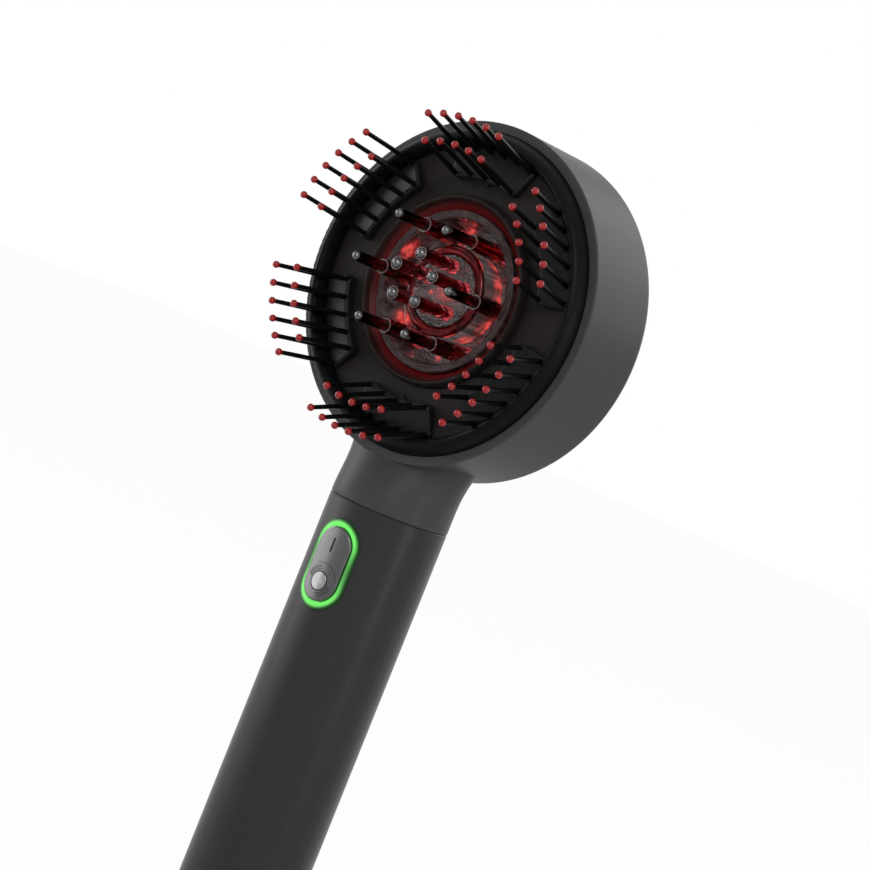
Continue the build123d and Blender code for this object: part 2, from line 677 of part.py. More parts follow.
def reflector():
    """Thin bright dish over the board, with a window for each emitter."""
    edge = SLEEVE_INNER - CUP_GAP
    dish = turned(
        (REFLECTOR_HOLE_RADIUS, BOARD_FRONT),
        (REFLECTOR_KNEE_RADIUS, BOARD_FRONT),
        (edge, BOARD_FRONT + REFLECTOR_RISE),
        (edge, BOARD_FRONT + REFLECTOR_RISE + REFLECTOR_THICKNESS),
        (REFLECTOR_KNEE_RADIUS, BOARD_FRONT + REFLECTOR_THICKNESS),
        (REFLECTOR_HOLE_RADIUS, BOARD_FRONT + REFLECTOR_THICKNESS),
    )
    window = EMITTER_SIZE + EMITTER_WINDOW_GAP
    return dish - around(Pos(EMITTER_CIRCLE, 0, BOARD_FRONT) * Box(window, window, 2 * REFLECTOR_RISE), EMITTERS)


# ---------------------------------------------------------------- vibration motor
def motor_can():
    """Closed motor can standing in the cradle, with its shaft bearing open at the top."""
    can = Pos(0, MOTOR_SET_BACK, MOTOR_BASE) * Cylinder(
        MOTOR_RADIUS, MOTOR_LENGTH, align=(Align.CENTER, Align.CENTER, Align.MIN)
    )
    can = fillet(can.edges().filter_by(GeomType.CIRCLE), 0.6)
    top = MOTOR_BASE + MOTOR_LENGTH
    return can - rod(
        MOTOR_SHAFT_RADIUS + SHAFT_GAP,
        (0, MOTOR_SET_BACK, top - MOTOR_SHAFT_SEAT - SHAFT_GAP),
        (0, MOTOR_SET_BACK, top),
    )


def motor_shaft():
    """Shaft that carries the eccentric weight."""
    top = MOTOR_BASE + MOTOR_LENGTH
    start = (0, MOTOR_SET_BACK, top - MOTOR_SHAFT_SEAT)
    return rod(MOTOR_SHAFT_RADIUS, start, (0, MOTOR_SET_BACK, top + MOTOR_SHAFT_REACH))


def eccentric_weight():
    """Half-round weight pressed on the shaft."""
    base = MOTOR_BASE + MOTOR_LENGTH + WEIGHT_GAP
    upright = (Align.CENTER, Align.CENTER, Align.MIN)
    half = Cylinder(WEIGHT_RADIUS, WEIGHT_LENGTH, align=upright) & Pos(0, WEIGHT_RADIUS, 0) * Box(
        2 * WEIGHT_RADIUS, 2 * WEIGHT_RADIUS, WEIGHT_LENGTH, align=upright
    )
    weight = half + Cylinder(WEIGHT_HUB_RADIUS, WEIGHT_LENGTH, align=upright)
    weight -= Cylinder(MOTOR_SHAFT_RADIUS, WEIGHT_LENGTH, align=upright)
    return Pos(0, MOTOR_SET_BACK, base) * weight


def motor_cradle():
    """Soft plug that fills the neck and grips the lower half of the motor."""
    plug = oval(NECK_WALL, HANDLE_LENGTH, HANDLE_LENGTH + CRADLE_HEIGHT)
    top = HANDLE_LENGTH + CRADLE_HEIGHT
    return plug - rod(MOTOR_RADIUS, (0, MOTOR_SET_BACK, MOTOR_BASE), (0, MOTOR_SET_BACK, top))


# ---------------------------------------------------------------- handle
def handle_shell():
    """Oval tube with the openings for the key's light guide and the charge socket."""
    shell = oval(0, BASE_THICKNESS, HANDLE_LENGTH)
    shell = chamfer(shell.edges().group_by(Axis.Z)[-1], SEAM_CHAMFER)
    shell = chamfer(shell.edges().group_by(Axis.Z)[0], SEAM_CHAMFER)
    shell -= oval(HANDLE_WALL, BASE_THICKNESS, HANDLE_LENGTH)
    shell -= pill(GUIDE_LENGTH + 2 * FIT_GAP, GUIDE_WIDTH + 2 * FIT_GAP, -HANDLE_DEPTH, 0)
    slot = Plane(origin=(0, 0, socket_centre()), x_dir=(1, 0, 0), z_dir=(0, 1, 0)) * SlotOverall(
        SOCKET_WIDTH + 2 * SOCKET_GAP, SOCKET_HEIGHT + 2 * SOCKET_GAP
    )
    return shell - extrude(slot, HANDLE_DEPTH)


def socket_centre():
    """Height of the charge socket's middle."""
    return CHARGE_BOARD_HEIGHT + CHARGE_BOARD_THICKNESS + SOCKET_HEIGHT / 2


def base_cap():
    """Flat cap with a rounded edge, a spigot ring and two posts for the charge board."""
    cap = oval(0, 0, BASE_THICKNESS)
    cap = fillet(cap.edges().group_by(Axis.Z)[0], BASE_EDGE_ROUND)
    top = BASE_THICKNESS + BASE_SPIGOT_LENGTH
    spigot = oval(HANDLE_WALL + FIT_GAP, BASE_THICKNESS, top)
    spigot -= oval(NECK_WALL, BASE_THICKNESS, top)
    post_x = CHARGE_BOARD_WIDTH / 2 - SPIGOT_WALL
    posts = [rod(SPIGOT_WALL, (x, 0, BASE_THICKNESS), (x, 0, CHARGE_BOARD_HEIGHT)) for x in (-post_x, post_x)]
    return cap + spigot + posts


# ---------------------------------------------------------------- key, light guide and bracket
def oval_skin(proud):
    """Oval block over the key's height, grown by proud, that gives fronts the handle's curve."""
    return oval(-proud, KEY_HEIGHT - GUIDE_LENGTH, KEY_HEIGHT + GUIDE_LENGTH)


def key_light_guide():
    """Clear green ring round the key, curved with the handle."""
    ring = pill(GUIDE_LENGTH, GUIDE_WIDTH, -HANDLE_DEPTH, GUIDE_BACK_Y)
    ring -= pill(KEY_LENGTH + 2 * KEY_GAP, KEY_WIDTH + 2 * KEY_GAP, -HANDLE_DEPTH, GUIDE_BACK_Y)
    return ring & oval_skin(GUIDE_PROUD)


KEY_BACK_Y = GUIDE_BACK_Y - KEY_GAP
TRUNNION_Y = GUIDE_BACK_Y + TRUNNION_RADIUS + TRUNNION_GAP
SWITCH_TOP_Y = MAIN_BOARD_Y - SWITCH_HEIGHT - PLUNGER_HEIGHT


def rocker_key():
    """Pill-shaped key that rocks on two trunnions, with a nub over each switch."""
    cap = pill(KEY_LENGTH, KEY_WIDTH, -HANDLE_DEPTH, KEY_BACK_Y) & oval_skin(KEY_PROUD)
    front = cap.faces().sort_by(Axis.Y)[0]
    cap = fillet(front.edges(), KEY_EDGE_ROUND)
    web_back = TRUNNION_Y + TRUNNION_RADIUS
    half = KEY_WEB_THICKNESS / 2
    web = block(
        (-KEY_WEB_HALF, KEY_WEB_HALF), (KEY_BACK_Y, web_back), (KEY_HEIGHT - half, KEY_HEIGHT + half)
    )
    axle_ends = [(x, TRUNNION_Y, KEY_HEIGHT) for x in (-TRUNNION_REACH, TRUNNION_REACH)]
    axle = rod(TRUNNION_RADIUS, *axle_ends)
    nub_back = SWITCH_TOP_Y - KEY_STROKE_GAP
    nubs = [
        rod(NUB_RADIUS, (0, KEY_BACK_Y, KEY_HEIGHT + side), (0, nub_back, KEY_HEIGHT + side))
        for side in (-SWITCH_OFFSET, SWITCH_OFFSET)
    ]
    return cap + web + axle + nubs


def key_bracket():
    """Frame on the main board with open slots for the key's trunnions, closed by the light guide."""
    frame = pill(BRACKET_LENGTH, BRACKET_WIDTH, GUIDE_BACK_Y, MAIN_BOARD_Y)
    frame -= pill(KEY_LENGTH + 3 * KEY_GAP, KEY_WIDTH + 2 * KEY_GAP, GUIDE_BACK_Y, MAIN_BOARD_Y)
    frame &= oval(HANDLE_WALL + FIT_GAP, KEY_HEIGHT - BRACKET_LENGTH, KEY_HEIGHT + BRACKET_LENGTH)
    reach = TRUNNION_REACH + 2 * TRUNNION_GAP
    room = TRUNNION_RADIUS + TRUNNION_GAP
    bearing = rod(room, (-reach, TRUNNION_Y, KEY_HEIGHT), (reach, TRUNNION_Y, KEY_HEIGHT))
    slot = block((-reach, reach), (GUIDE_BACK_Y, TRUNNION_Y), (KEY_HEIGHT - room, KEY_HEIGHT + room))
    return frame - bearing - slot


def tact_switches():
    """Two switches on the main board, each a body and a plunger."""
    switches = []
    for side in (-SWITCH_OFFSET, SWITCH_OFFSET):
        height = KEY_HEIGHT + side
        half = SWITCH_SIZE / 2
        body = block(
            (-half, half), (MAIN_BOARD_Y - SWITCH_HEIGHT, MAIN_BOARD_Y), (height - half, height + half)
        )
        plunger = rod(PLUNGER_RADIUS, (0, MAIN_BOARD_Y - SWITCH_HEIGHT, height), (0, SWITCH_TOP_Y, height))
        switches.append(body + plunger)
    return switches


# ---------------------------------------------------------------- boards, battery and chassis
def board_back():
    """Y of the main board's back face."""
    return MAIN_BOARD_Y + BOARD_THICKNESS


def screw_spots():
    """Places of the main board's two screws, at opposite corners."""
    x = MAIN_BOARD_WIDTH / 2 - BOARD_SCREW_INSET
    z = MAIN_BOARD_LENGTH / 2 - BOARD_SCREW_INSET
    return [(-x, KEY_HEIGHT - z), (x, KEY_HEIGHT + z)]


def screw_hole(spot, gap):
    """Straight bar for a board screw's hole."""
    end = MAIN_BOARD_Y + BOARD_SCREW_LENGTH
    return rod(BOARD_SCREW_RADIUS + gap, (spot[0], MAIN_BOARD_Y, spot[1]), (spot[0], end, spot[1]))


def main_board():
    """Circuit board behind the key."""
    half_x = MAIN_BOARD_WIDTH / 2
    half_z = MAIN_BOARD_LENGTH / 2
    board = block(
        (-half_x, half_x), (MAIN_BOARD_Y, board_back()), (KEY_HEIGHT - half_z, KEY_HEIGHT + half_z)
    )
    return board - [screw_hole(spot, SHAFT_GAP) for spot in screw_spots()]


def board_parts():
    """Controller chip and motor connector on the back of the main board."""
    back = board_back()
    half = CONTROLLER_SIZE / 2
    chip = block((-half, half), (back, back + CONTROLLER_HEIGHT), (KEY_HEIGHT - half, KEY_HEIGHT + half))
    half_x, half_z = PLUG_WIDTH / 2, PLUG_LENGTH / 2
    middle = KEY_HEIGHT + PLUG_ABOVE_KEY
    plug = block((-half_x, half_x), (back, back + PLUG_HEIGHT), (middle - half_z, middle + half_z))
    return [chip, plug]


def board_screws():
    """Two pan-head screws through the main board into the chassis rails."""
    screws = []
    for spot in screw_spots():
        head = rod(
            BOARD_SCREW_HEAD_RADIUS,
            (spot[0], MAIN_BOARD_Y - BOARD_SCREW_HEAD, spot[1]),
            (spot[0], MAIN_BOARD_Y, spot[1]),
        )
        screws.append(head + screw_hole(spot, 0))
    return screws


def chassis():
    """Carrier inside the handle: a trough for the cell, end walls and rails for the main board."""
    battery_top = BATTERY_BASE + BATTERY_LENGTH
    floor = BATTERY_BASE - CHASSIS_FLOOR
    shelf = battery_top + CHASSIS_FLOOR
    top = KEY_HEIGHT + MAIN_BOARD_LENGTH / 2
    bay = oval(HANDLE_WALL + FIT_GAP, floor, shelf)
    back_half = block((-HANDLE_WIDTH, HANDLE_WIDTH), (BATTERY_SET_BACK, HANDLE_DEPTH), (0, HEAD_HEIGHT))
    cell_bore = rod(
        BATTERY_RADIUS + BATTERY_GAP, (0, BATTERY_SET_BACK, BATTERY_BASE), (0, BATTERY_SET_BACK, battery_top)
    )
    trough = (bay & back_half) - cell_bore
    foot = BASE_THICKNESS + BASE_SPIGOT_LENGTH
    legs = oval(HANDLE_WALL + FIT_GAP, foot, floor) - oval(NECK_WALL, foot, floor)
    legs -= block((-CHASSIS_LEG_GAP, CHASSIS_LEG_GAP), (-HANDLE_DEPTH, HANDLE_DEPTH), (0, floor))
    ends = [oval(HANDLE_WALL + FIT_GAP, low, low + CHASSIS_FLOOR) for low in (floor, battery_top)]
    rail_x = MAIN_BOARD_WIDTH / 2 - CHASSIS_RAIL_WIDTH
    rails = [
        block(side, (board_back(), board_back() + 2 * CHASSIS_RAIL_WIDTH), (battery_top, top))
        & oval(HANDLE_WALL + FIT_GAP, battery_top, top)
        for side in ((-rail_x - CHASSIS_RAIL_WIDTH, -rail_x), (rail_x, rail_x + CHASSIS_RAIL_WIDTH))
    ]
    return trough + legs + ends + rails - [screw_hole(spot, SHAFT_GAP) for spot in screw_spots()]


def battery_cell():
    """Round cell with its raised terminal."""
    can = rod(
        BATTERY_RADIUS,
        (0, BATTERY_SET_BACK, BATTERY_BASE),
        (0, BATTERY_SET_BACK, BATTERY_BASE + BATTERY_LENGTH - BATTERY_TERMINAL),
    )
    nose = rod(
        BATTERY_RADIUS / 3,
        (0, BATTERY_SET_BACK, BATTERY_BASE + BATTERY_LENGTH - BATTERY_TERMINAL),
        (0, BATTERY_SET_BACK, BATTERY_BASE + BATTERY_LENGTH),
    )
    return can + nose


def charge_board():
    """Small board on the base cap's posts."""
    half = CHARGE_BOARD_WIDTH / 2
    inset = HANDLE_WALL + 2 * FIT_GAP
    back = (HANDLE_B - inset) * sqrt(1 - (half / (HANDLE_A - inset)) ** 2)
    top = CHARGE_BOARD_HEIGHT + CHARGE_BOARD_THICKNESS
    return block((-half, half), (back - CHARGE_BOARD_LENGTH, back), (CHARGE_BOARD_HEIGHT, top))


def charge_socket():
    """Metal shell of the charge socket with its tongue, on the charge board."""
    mouth = HANDLE_B - SOCKET_INSET
    plane = Plane(origin=(0, mouth - SOCKET_DEPTH, socket_centre()), x_dir=(1, 0, 0), z_dir=(0, 1, 0))
    outer = extrude(plane * SlotOverall(SOCKET_WIDTH, SOCKET_HEIGHT), SOCKET_DEPTH)
    inner = plane * SlotOverall(SOCKET_WIDTH - 2 * SOCKET_SHELL, SOCKET_HEIGHT - 2 * SOCKET_SHELL)
    hollow = Pos(0, 1.0, 0) * extrude(inner, SOCKET_DEPTH)
    tongue = extrude(plane * Rectangle(0.75 * SOCKET_WIDTH, 2 * SOCKET_SHELL), SOCKET_DEPTH - 0.5)
    return outer - hollow + tongue


# ---------------------------------------------------------------- nodes
def on_head(shape):
    """A shape or a list of them moved from the head's frame into the object's."""
    if isinstance(shape, list):
        return [HEAD * piece for piece in shape]
    return HEAD * shape


def nodes():
    """Every node's name with its solid or list of solids."""
    built = {
        "head_housing": head_housing(),
        "bezel_ring": on_head(bezel_ring()),
        "face_plate": on_head(face_plate()),
        "light_ring": on_head(light_ring()),
        "applicator_cup": on_head(applicator_cup()),
        "needle_tubes": on_head(needle_tubes()),
        "hub_gasket": on_head(hub_gasket()),
        "cup_seal": on_head(cup_seal()),
        "liquid_tank": on_head(liquid_tank()),
        "reflector": on_head(reflector()),
        "light_emitters": on_head(light_emitters()),
        "emitter_board": on_head(emitter_board()),
        "motor_can": motor_can(),
        "motor_shaft": motor_shaft(),
        "eccentric_weight": eccentric_weight(),
        "motor_cradle": motor_cradle(),
        "handle_shell": handle_shell(),
        "base_cap": base_cap(),
        "rocker_key": rocker_key(),
        "key_light_guide": key_light_guide(),
        "key_bracket": key_bracket(),
        "tact_switches": tact_switches(),
        "main_board": main_board(),
        "board_parts": board_parts(),
        "board_screws": board_screws(),
        "chassis": chassis(),
        "battery_cell": battery_cell(),
        "charge_board": charge_board(),
        "charge_socket": charge_socket(),
    }
    for index, ball in enumerate(roller_balls(), start=1):
        built[f"roller_ball_{index:02d}"] = on_head(ball)
    pad, pins, tips = comb_pad(), comb_pins(), comb_tips()
    for index in range(GROUPS):
        turn = Rot(0, 0, 360 * index / GROUPS)
        built[f"comb_pad_{index + 1}"] = on_head(turn * pad)
        built[f"comb_pins_{index + 1}"] = on_head([turn * pin for pin in pins])
        built[f"comb_tips_{index + 1}"] = on_head([turn * tip for tip in tips])
    return built


def main():
    os.makedirs("parts", exist_ok=True)
    for name, shape in nodes().items():
        if isinstance(shape, list):
            shape = Compound([solid for piece in shape for solid in piece.solids()])
        export_step(shape, f"parts/{name}.step")


if __name__ == "__main__":
    main()
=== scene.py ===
"""Electric scalp massager: dress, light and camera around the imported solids.

Lengths in the dataclasses are millimetres. Meshes are written in metres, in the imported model's frame: +Z up
the handle, -Y the side that the combs and the key face, the origin at the centre of the handle's flat end.
"""

from __future__ import annotations

import json
import logging
import math
from dataclasses import dataclass, field
from enum import Enum
from functools import cache
from typing import Iterable, Sequence

import bmesh
import bpy
from mathutils import Matrix, Vector
from mathutils.geometry import interpolate_bezier

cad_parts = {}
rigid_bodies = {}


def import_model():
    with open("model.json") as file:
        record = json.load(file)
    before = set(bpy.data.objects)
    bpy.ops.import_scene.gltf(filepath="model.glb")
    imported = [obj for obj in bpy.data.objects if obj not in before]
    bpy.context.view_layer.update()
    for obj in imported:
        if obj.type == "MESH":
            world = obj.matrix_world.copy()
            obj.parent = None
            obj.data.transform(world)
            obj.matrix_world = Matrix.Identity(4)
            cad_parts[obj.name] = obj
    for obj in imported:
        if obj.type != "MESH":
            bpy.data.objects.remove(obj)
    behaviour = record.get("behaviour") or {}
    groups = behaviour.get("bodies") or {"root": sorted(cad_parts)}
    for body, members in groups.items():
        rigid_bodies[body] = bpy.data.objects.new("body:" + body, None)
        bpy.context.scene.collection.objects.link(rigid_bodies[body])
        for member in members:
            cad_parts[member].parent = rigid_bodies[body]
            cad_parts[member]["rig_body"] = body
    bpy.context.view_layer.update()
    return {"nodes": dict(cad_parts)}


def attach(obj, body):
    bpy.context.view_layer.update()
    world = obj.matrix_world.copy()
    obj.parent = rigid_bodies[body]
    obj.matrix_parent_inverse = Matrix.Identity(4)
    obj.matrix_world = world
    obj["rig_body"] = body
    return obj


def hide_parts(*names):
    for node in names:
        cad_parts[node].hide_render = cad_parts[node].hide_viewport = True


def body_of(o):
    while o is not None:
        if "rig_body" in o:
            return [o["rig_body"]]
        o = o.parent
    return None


LOG = logging.getLogger("scalp_massager")
MM = 0.001
Color = tuple[float, float, float]
Point2 = tuple[float, float]
Point3 = tuple[float, float, float]
Patch = tuple[float, float, float, float, float]
BLACK: Color = (0.0, 0.0, 0.0)
WHITE: Color = (1.0, 1.0, 1.0)

# The head's axis points forwards, from the middle of the drum's lip.
HEAD_HEIGHT = 164.0
LIP_FORWARD = 11.3
HEAD = Matrix(((1, 0, 0, 0), (0, 0, -1, -LIP_FORWARD), (0, 1, 0, HEAD_HEIGHT), (0, 0, 0, 1)))

# The height of the key's middle, and the radius of its round front about the handle's axis.
KEY_HEIGHT = 95.1
KEY_FRONT = 15.4


# ---------------------------------------------------------------- shader values
class Value:
    """A node socket that Python's operators can be used on."""

    def __init__(self, tree: Tree, socket: bpy.types.NodeSocket) -> None:
        """Keep the socket and its tree."""
        self.tree = tree
        self.socket = socket

    def _math(self, operation: str, *others: Value | float) -> Value:
        """Add a Math node.

        Args:
            operation: Name of the Math operation.
            others: The other operands, after this value.

        Returns:
            The node's result.
        """
        return self.tree.math(operation, self, *others)

    def __add__(self, other: Value | float) -> Value:
        """Sum."""
        return self._math("ADD", other)

    __radd__ = __add__

    def __sub__(self, other: Value | float) -> Value:
        """Difference."""
        return self._math("SUBTRACT", other)

    def __rsub__(self, other: float) -> Value:
        """Difference from a number."""
        return self.tree.math("SUBTRACT", other, self)

    def __mul__(self, other: Value | float) -> Value:
        """Product."""
        return self._math("MULTIPLY", other)

    __rmul__ = __mul__

    def __abs__(self) -> Value:
        """Size without the sign."""
        return self._math("ABSOLUTE")

    def above(self, limit: float) -> Value:
        """The value, but never less than a limit."""
        return self._math("MAXIMUM", limit)

    def below(self, limit: float) -> Value:
        """The value, but never more than a limit."""
        return self._math("MINIMUM", limit)

    def root(self) -> Value:
        """Square root."""
        return self._math("SQRT")

    def step(self, low: float, high: float) -> Value:
        """Smooth step from 0 at low to 1 at high."""
        node = self.tree.node(
            "ShaderNodeMapRange",
            {"interpolation_type": "SMOOTHSTEP", "clamp": True},
            {"Value": self, "From Min": low, "From Max": high, "To Min": 0.0, "To Max": 1.0},
        )
        return node["Result"]

    def ramp(self, *stops: tuple[float, Color]) -> Value:
        """Colour ramp over the value.

        Args:
            stops: Pairs of a place from 0 to 1 and a colour.

        Returns:
            The colour.
        """
        return self.tree.node("ShaderNodeValToRGB", {"stops": stops}, {"Fac": self})["Color"]


class Tree:
    """A node tree that is built from values.

    Attributes:
        MIX_INPUTS: Places of the Mix node's factor and two colours, as it has sockets for every kind of data.
        MIX_RESULT: Place of its mixed colour.
    """

    MIX_INPUTS = (0, 6, 7)
    MIX_RESULT = 2

    def __init__(self, tree: bpy.types.NodeTree) -> None:
        """Empty the tree."""
        tree.nodes.clear()
        self.nodes = tree.nodes
        self.links = tree.links

    def node(self, kind: str, settings: dict | None = None, inputs: dict | None = None) -> dict[str, Value]:
        """Add any node.

        Args:
            kind: The node's type.
            settings: Its properties, set before its sockets; "stops" sets a colour ramp's stops.
            inputs: Values or links by socket name or index.

        Returns:
            Its outputs by name.
        """
        made = self.nodes.new(kind)
        for key, value in (settings or {}).items():
            if key == "stops":
                self._set_stops(made.color_ramp, value)
            else:
                setattr(made, key, value)
        for key, value in (inputs or {}).items():
            self.set(made.inputs[key], value)
        return {socket.name: Value(self, socket) for socket in reversed(made.outputs) if socket.enabled}

    @staticmethod
    def _set_stops(ramp: bpy.types.ColorRamp, stops: Sequence[tuple[float, Color]]) -> None:
        """Give a colour ramp its stops."""
        while len(ramp.elements) < len(stops):
            ramp.elements.new(0.5)
        for element, (place, color) in zip(ramp.elements, stops):
            element.position = place
            element.color = (*color, 1.0)

    def set(self, socket: bpy.types.NodeSocket, value: Value | float | Sequence[float]) -> None:
        """Link a value to a socket, or write a constant on it."""
        if isinstance(value, Value):
            self.links.new(value.socket, socket)
        elif isinstance(value, (int, float)) or len(value) == len(socket.default_value):
            socket.default_value = value
        else:
            socket.default_value = (*value, 1.0)

    def math(self, operation: str, *operands: Value | float) -> Value:
        """Add a Math node.

        Args:
            operation: Name of the operation.
            operands: Its values in order.

        Returns:
            The result.
        """
        return self.node("ShaderNodeMath", {"operation": operation}, dict(enumerate(operands)))["Value"]

    def mix(self, share: Value | float, first: Value | Color, second: Value | Color) -> Value:
        """Mix two colours.

        Args:
            share: Share of the second colour.
            first: Colour at 0.
            second: Colour at 1.

        Returns:
            The mixed colour.
        """
        made = self.nodes.new("ShaderNodeMix")
        made.data_type = "RGBA"
        for index, value in zip(self.MIX_INPUTS, (share, first, second)):
            self.set(made.inputs[index], value)
        return Value(self, made.outputs[self.MIX_RESULT])

    def eye_rays(self) -> Value:
        """1 for what is seen, also in gloss and through clear parts, and 0 for what lights the object."""
        path = self.node("ShaderNodeLightPath")
        return (path["Is Camera Ray"] + path["Is Glossy Ray"] + path["Is Transmission Ray"]).below(1.0)


class Graph(Tree):
    """The node tree of one material, built from a Principled shader."""

    def __init__(self, name: str) -> None:
        """Make the material with its shader and output."""
        self.material = bpy.data.materials.new(name)
        self.material.use_nodes = True
        super().__init__(self.material.node_tree)
        self.output = self.nodes.new("ShaderNodeOutputMaterial")
        self.shader = self.nodes.new("ShaderNodeBsdfPrincipled")
        self.links.new(self.shader.outputs["BSDF"], self.output.inputs["Surface"])

    def place(self) -> Value:
        """Object coordinates, in metres."""
        return self.node("ShaderNodeTexCoord")["Object"]

    def stretched(self, factors: Point3) -> Value:
        """Object coordinates scaled on x, y and z."""
        return self.node("ShaderNodeMapping", None, {"Vector": self.place(), "Scale": factors})["Vector"]

    def axes(self) -> tuple[Value, Value, Value]:
        """The Object coordinates' x, y and z."""
        split = self.node("ShaderNodeSeparateXYZ", None, {"Vector": self.place()})
        return split["X"], split["Y"], split["Z"]

    def head_radius(self) -> Value:
        """Distance from the head's axis, in metres."""
        x, _, z = self.axes()
        rise = z - HEAD_HEIGHT * MM
        return (x * x + rise * rise).root()

    def head_angle(self) -> Value:
        """Angle about the head's axis, in radians."""
        x, _, z = self.axes()
        return self.math("ARCTAN2", z - HEAD_HEIGHT * MM, x)

    def noise(
        self, grain: float, detail: float = 3.0, vector: Value | None = None, rough: float = 0.5
    ) -> Value:
        """Noise with grains of a size.

        Args:
            grain: Size of a grain in millimetres.
            detail: Octaves.
            vector: Coordinates, or none for Object coordinates.
            rough: Roughness of the octaves.

        Returns:
            The noise, about 0.5.
        """
        inputs = {
            "Vector": vector or self.place(),
            "Scale": 1.0 / (grain * MM),
            "Detail": detail,
            "Roughness": rough,
        }
        return self.node("ShaderNodeTexNoise", None, inputs)["Fac"]

    def bump(self, height: Value, depth: float, strength: float = 1.0) -> None:
        """Feed the shader's normal from a height.

        Args:
            height: Height from 0 to 1.
            depth: Millimetres that 1 stands for.
            strength: Strength of the effect.
        """
        inputs = {"Height": height, "Distance": depth * MM, "Strength": strength}
        self.set(self.shader.inputs["Normal"], self.node("ShaderNodeBump", None, inputs)["Normal"])

    def dress(self, **sockets: Value | float | Sequence[float]) -> None:
        """Set the shader's sockets by name, with underscores for spaces."""
        for name, value in sockets.items():
            self.set(self.shader.inputs[name.replace("_", " ")], value)


# ---------------------------------------------------------------- finishes
@dataclass(frozen=True)
class Finish:
    """A finish that makes its material once.

    Attributes:
        name: Material name.
        slot: The record's material slot.
        color: Base colour, linear.
        roughness: Roughness in the middle of its range.
    """

    name: str
    slot: str
    color: Color
    roughness: float

    @cache
    def material(self) -> bpy.types.Material:
        """The finish's material, made at the first call."""
        graph = Graph(self.name)
        self.build(graph)
        return graph.material

    def build(self, graph: Graph) -> None:
        """Dress the shader."""
        raise NotImplementedError

    def shade(self, amount: Value, spread: float) -> Value:
        """The base colour made a little darker and lighter.

        Args:
            amount: Noise from 0 to 1.
            spread: Share by which the colour varies.

        Returns:
            The varied colour.
        """
        dark = tuple(channel * (1 - spread) for channel in self.color)
        light = tuple(min(1.0, channel * (1 + spread)) for channel in self.color)
        return amount.ramp((0.3, dark), (0.7, light))

    def gloss(self, amount: Value, spread: float) -> Value:
        """The roughness made a little glossier and duller.

        Args:
            amount: Noise from 0 to 1.
            spread: How far the roughness varies from one end of the noise to the other.

        Returns:
            The varied roughness.
        """
        return self.roughness + (amount - 0.5) * spread


@dataclass(frozen=True)
class MouldedPlastic(Finish):
    """Plastic with a fine spark-eroded grain and faint handling marks.

    Attributes:
        grain: Grain size in millimetres.
        depth: Grain depth in millimetres.
        specular: Specular level.
        marks: Size of the handling marks in millimetres.
    """

    grain: float = 0.22
    depth: float = 0.004
    specular: float = 0.5
    marks: float = 11.0

    def build(self, graph: Graph) -> None:
        """Fine grain in the normal, cloudy colour and roughness."""
        grain = graph.noise(self.grain, detail=2.0)
        cloud = graph.noise(self.marks, detail=4.0)
        speck = graph.noise(self.grain * 2.5, detail=1.0)
        graph.dress(
            Base_Color=self.shade(cloud * 0.7 + speck * 0.3, spread=0.05),
            Roughness=self.gloss(cloud, spread=0.06) + (grain - 0.5) * 0.05,
            Specular_IOR_Level=self.specular,
        )
        graph.bump(grain, self.depth)


@dataclass(frozen=True)
class Rubber(Finish):
    """Soft rubber with a silky bloom.

    Attributes:
        specular: Specular level.
        bloom: Size of the bloom's clouds in millimetres.
        grain: Grain size in millimetres.
        depth: Grain depth in millimetres.
    """

    specular: float = 0.3
    bloom: float = 3.5
    grain: float = 0.12
    depth: float = 0.003

    def build(self, graph: Graph) -> None:
        """Cloudy bloom over a very fine grain."""
        bloom = graph.noise(self.bloom, detail=4.0)
        graph.dress(
            Base_Color=self.shade(bloom, spread=0.12),
            Roughness=self.gloss(bloom, spread=0.12),
            Specular_IOR_Level=self.specular,
            Sheen_Weight=0.03,
            Sheen_Roughness=0.4,
        )
        graph.bump(graph.noise(self.grain, detail=2.0), self.depth)


@dataclass(frozen=True)
class RedLitEdge(Finish):
    """Dark satin plastic with painted red light close to the applicator's rim, where its colour turns red and
    glows.

    Attributes:
        near: Radius of full colour, in millimetres.
        far: Radius where the red has gone.
        red: Colour of the painted red light at the near radius.
        glow: Emission strength of the painted red light.
        specular: Specular level.
        cloud: Size of the clouds in the colour, in millimetres.
        grain: Grain size in millimetres.
        depth: Grain depth in millimetres.
    """

    near: float = 19.6
    far: float = 22.3
    red: Color = (0.10, 0.005, 0.006)
    glow: float = 0.3
    specular: float = 0.3
    cloud: float = 6.0
    grain: float = 0.2
    depth: float = 0.002

    def build(self, graph: Graph) -> None:
        """Fade the painted red light outwards over a fine grain."""
        # Painted red light: a red colour and glow that fade out from the applicator's rim.
        share = 1.0 - graph.head_radius().step(self.near * MM, self.far * MM)
        cloud = graph.noise(self.cloud)
        graph.dress(
            Base_Color=graph.mix(share, self.shade(cloud, spread=0.08), self.red),
            Roughness=self.gloss(cloud, spread=0.06),
            Specular_IOR_Level=self.specular,
            Emission_Color=graph.mix(share * share, BLACK, self.red),
            Emission_Strength=self.glow,
        )
        graph.bump(graph.noise(self.grain, detail=2.0), self.depth)


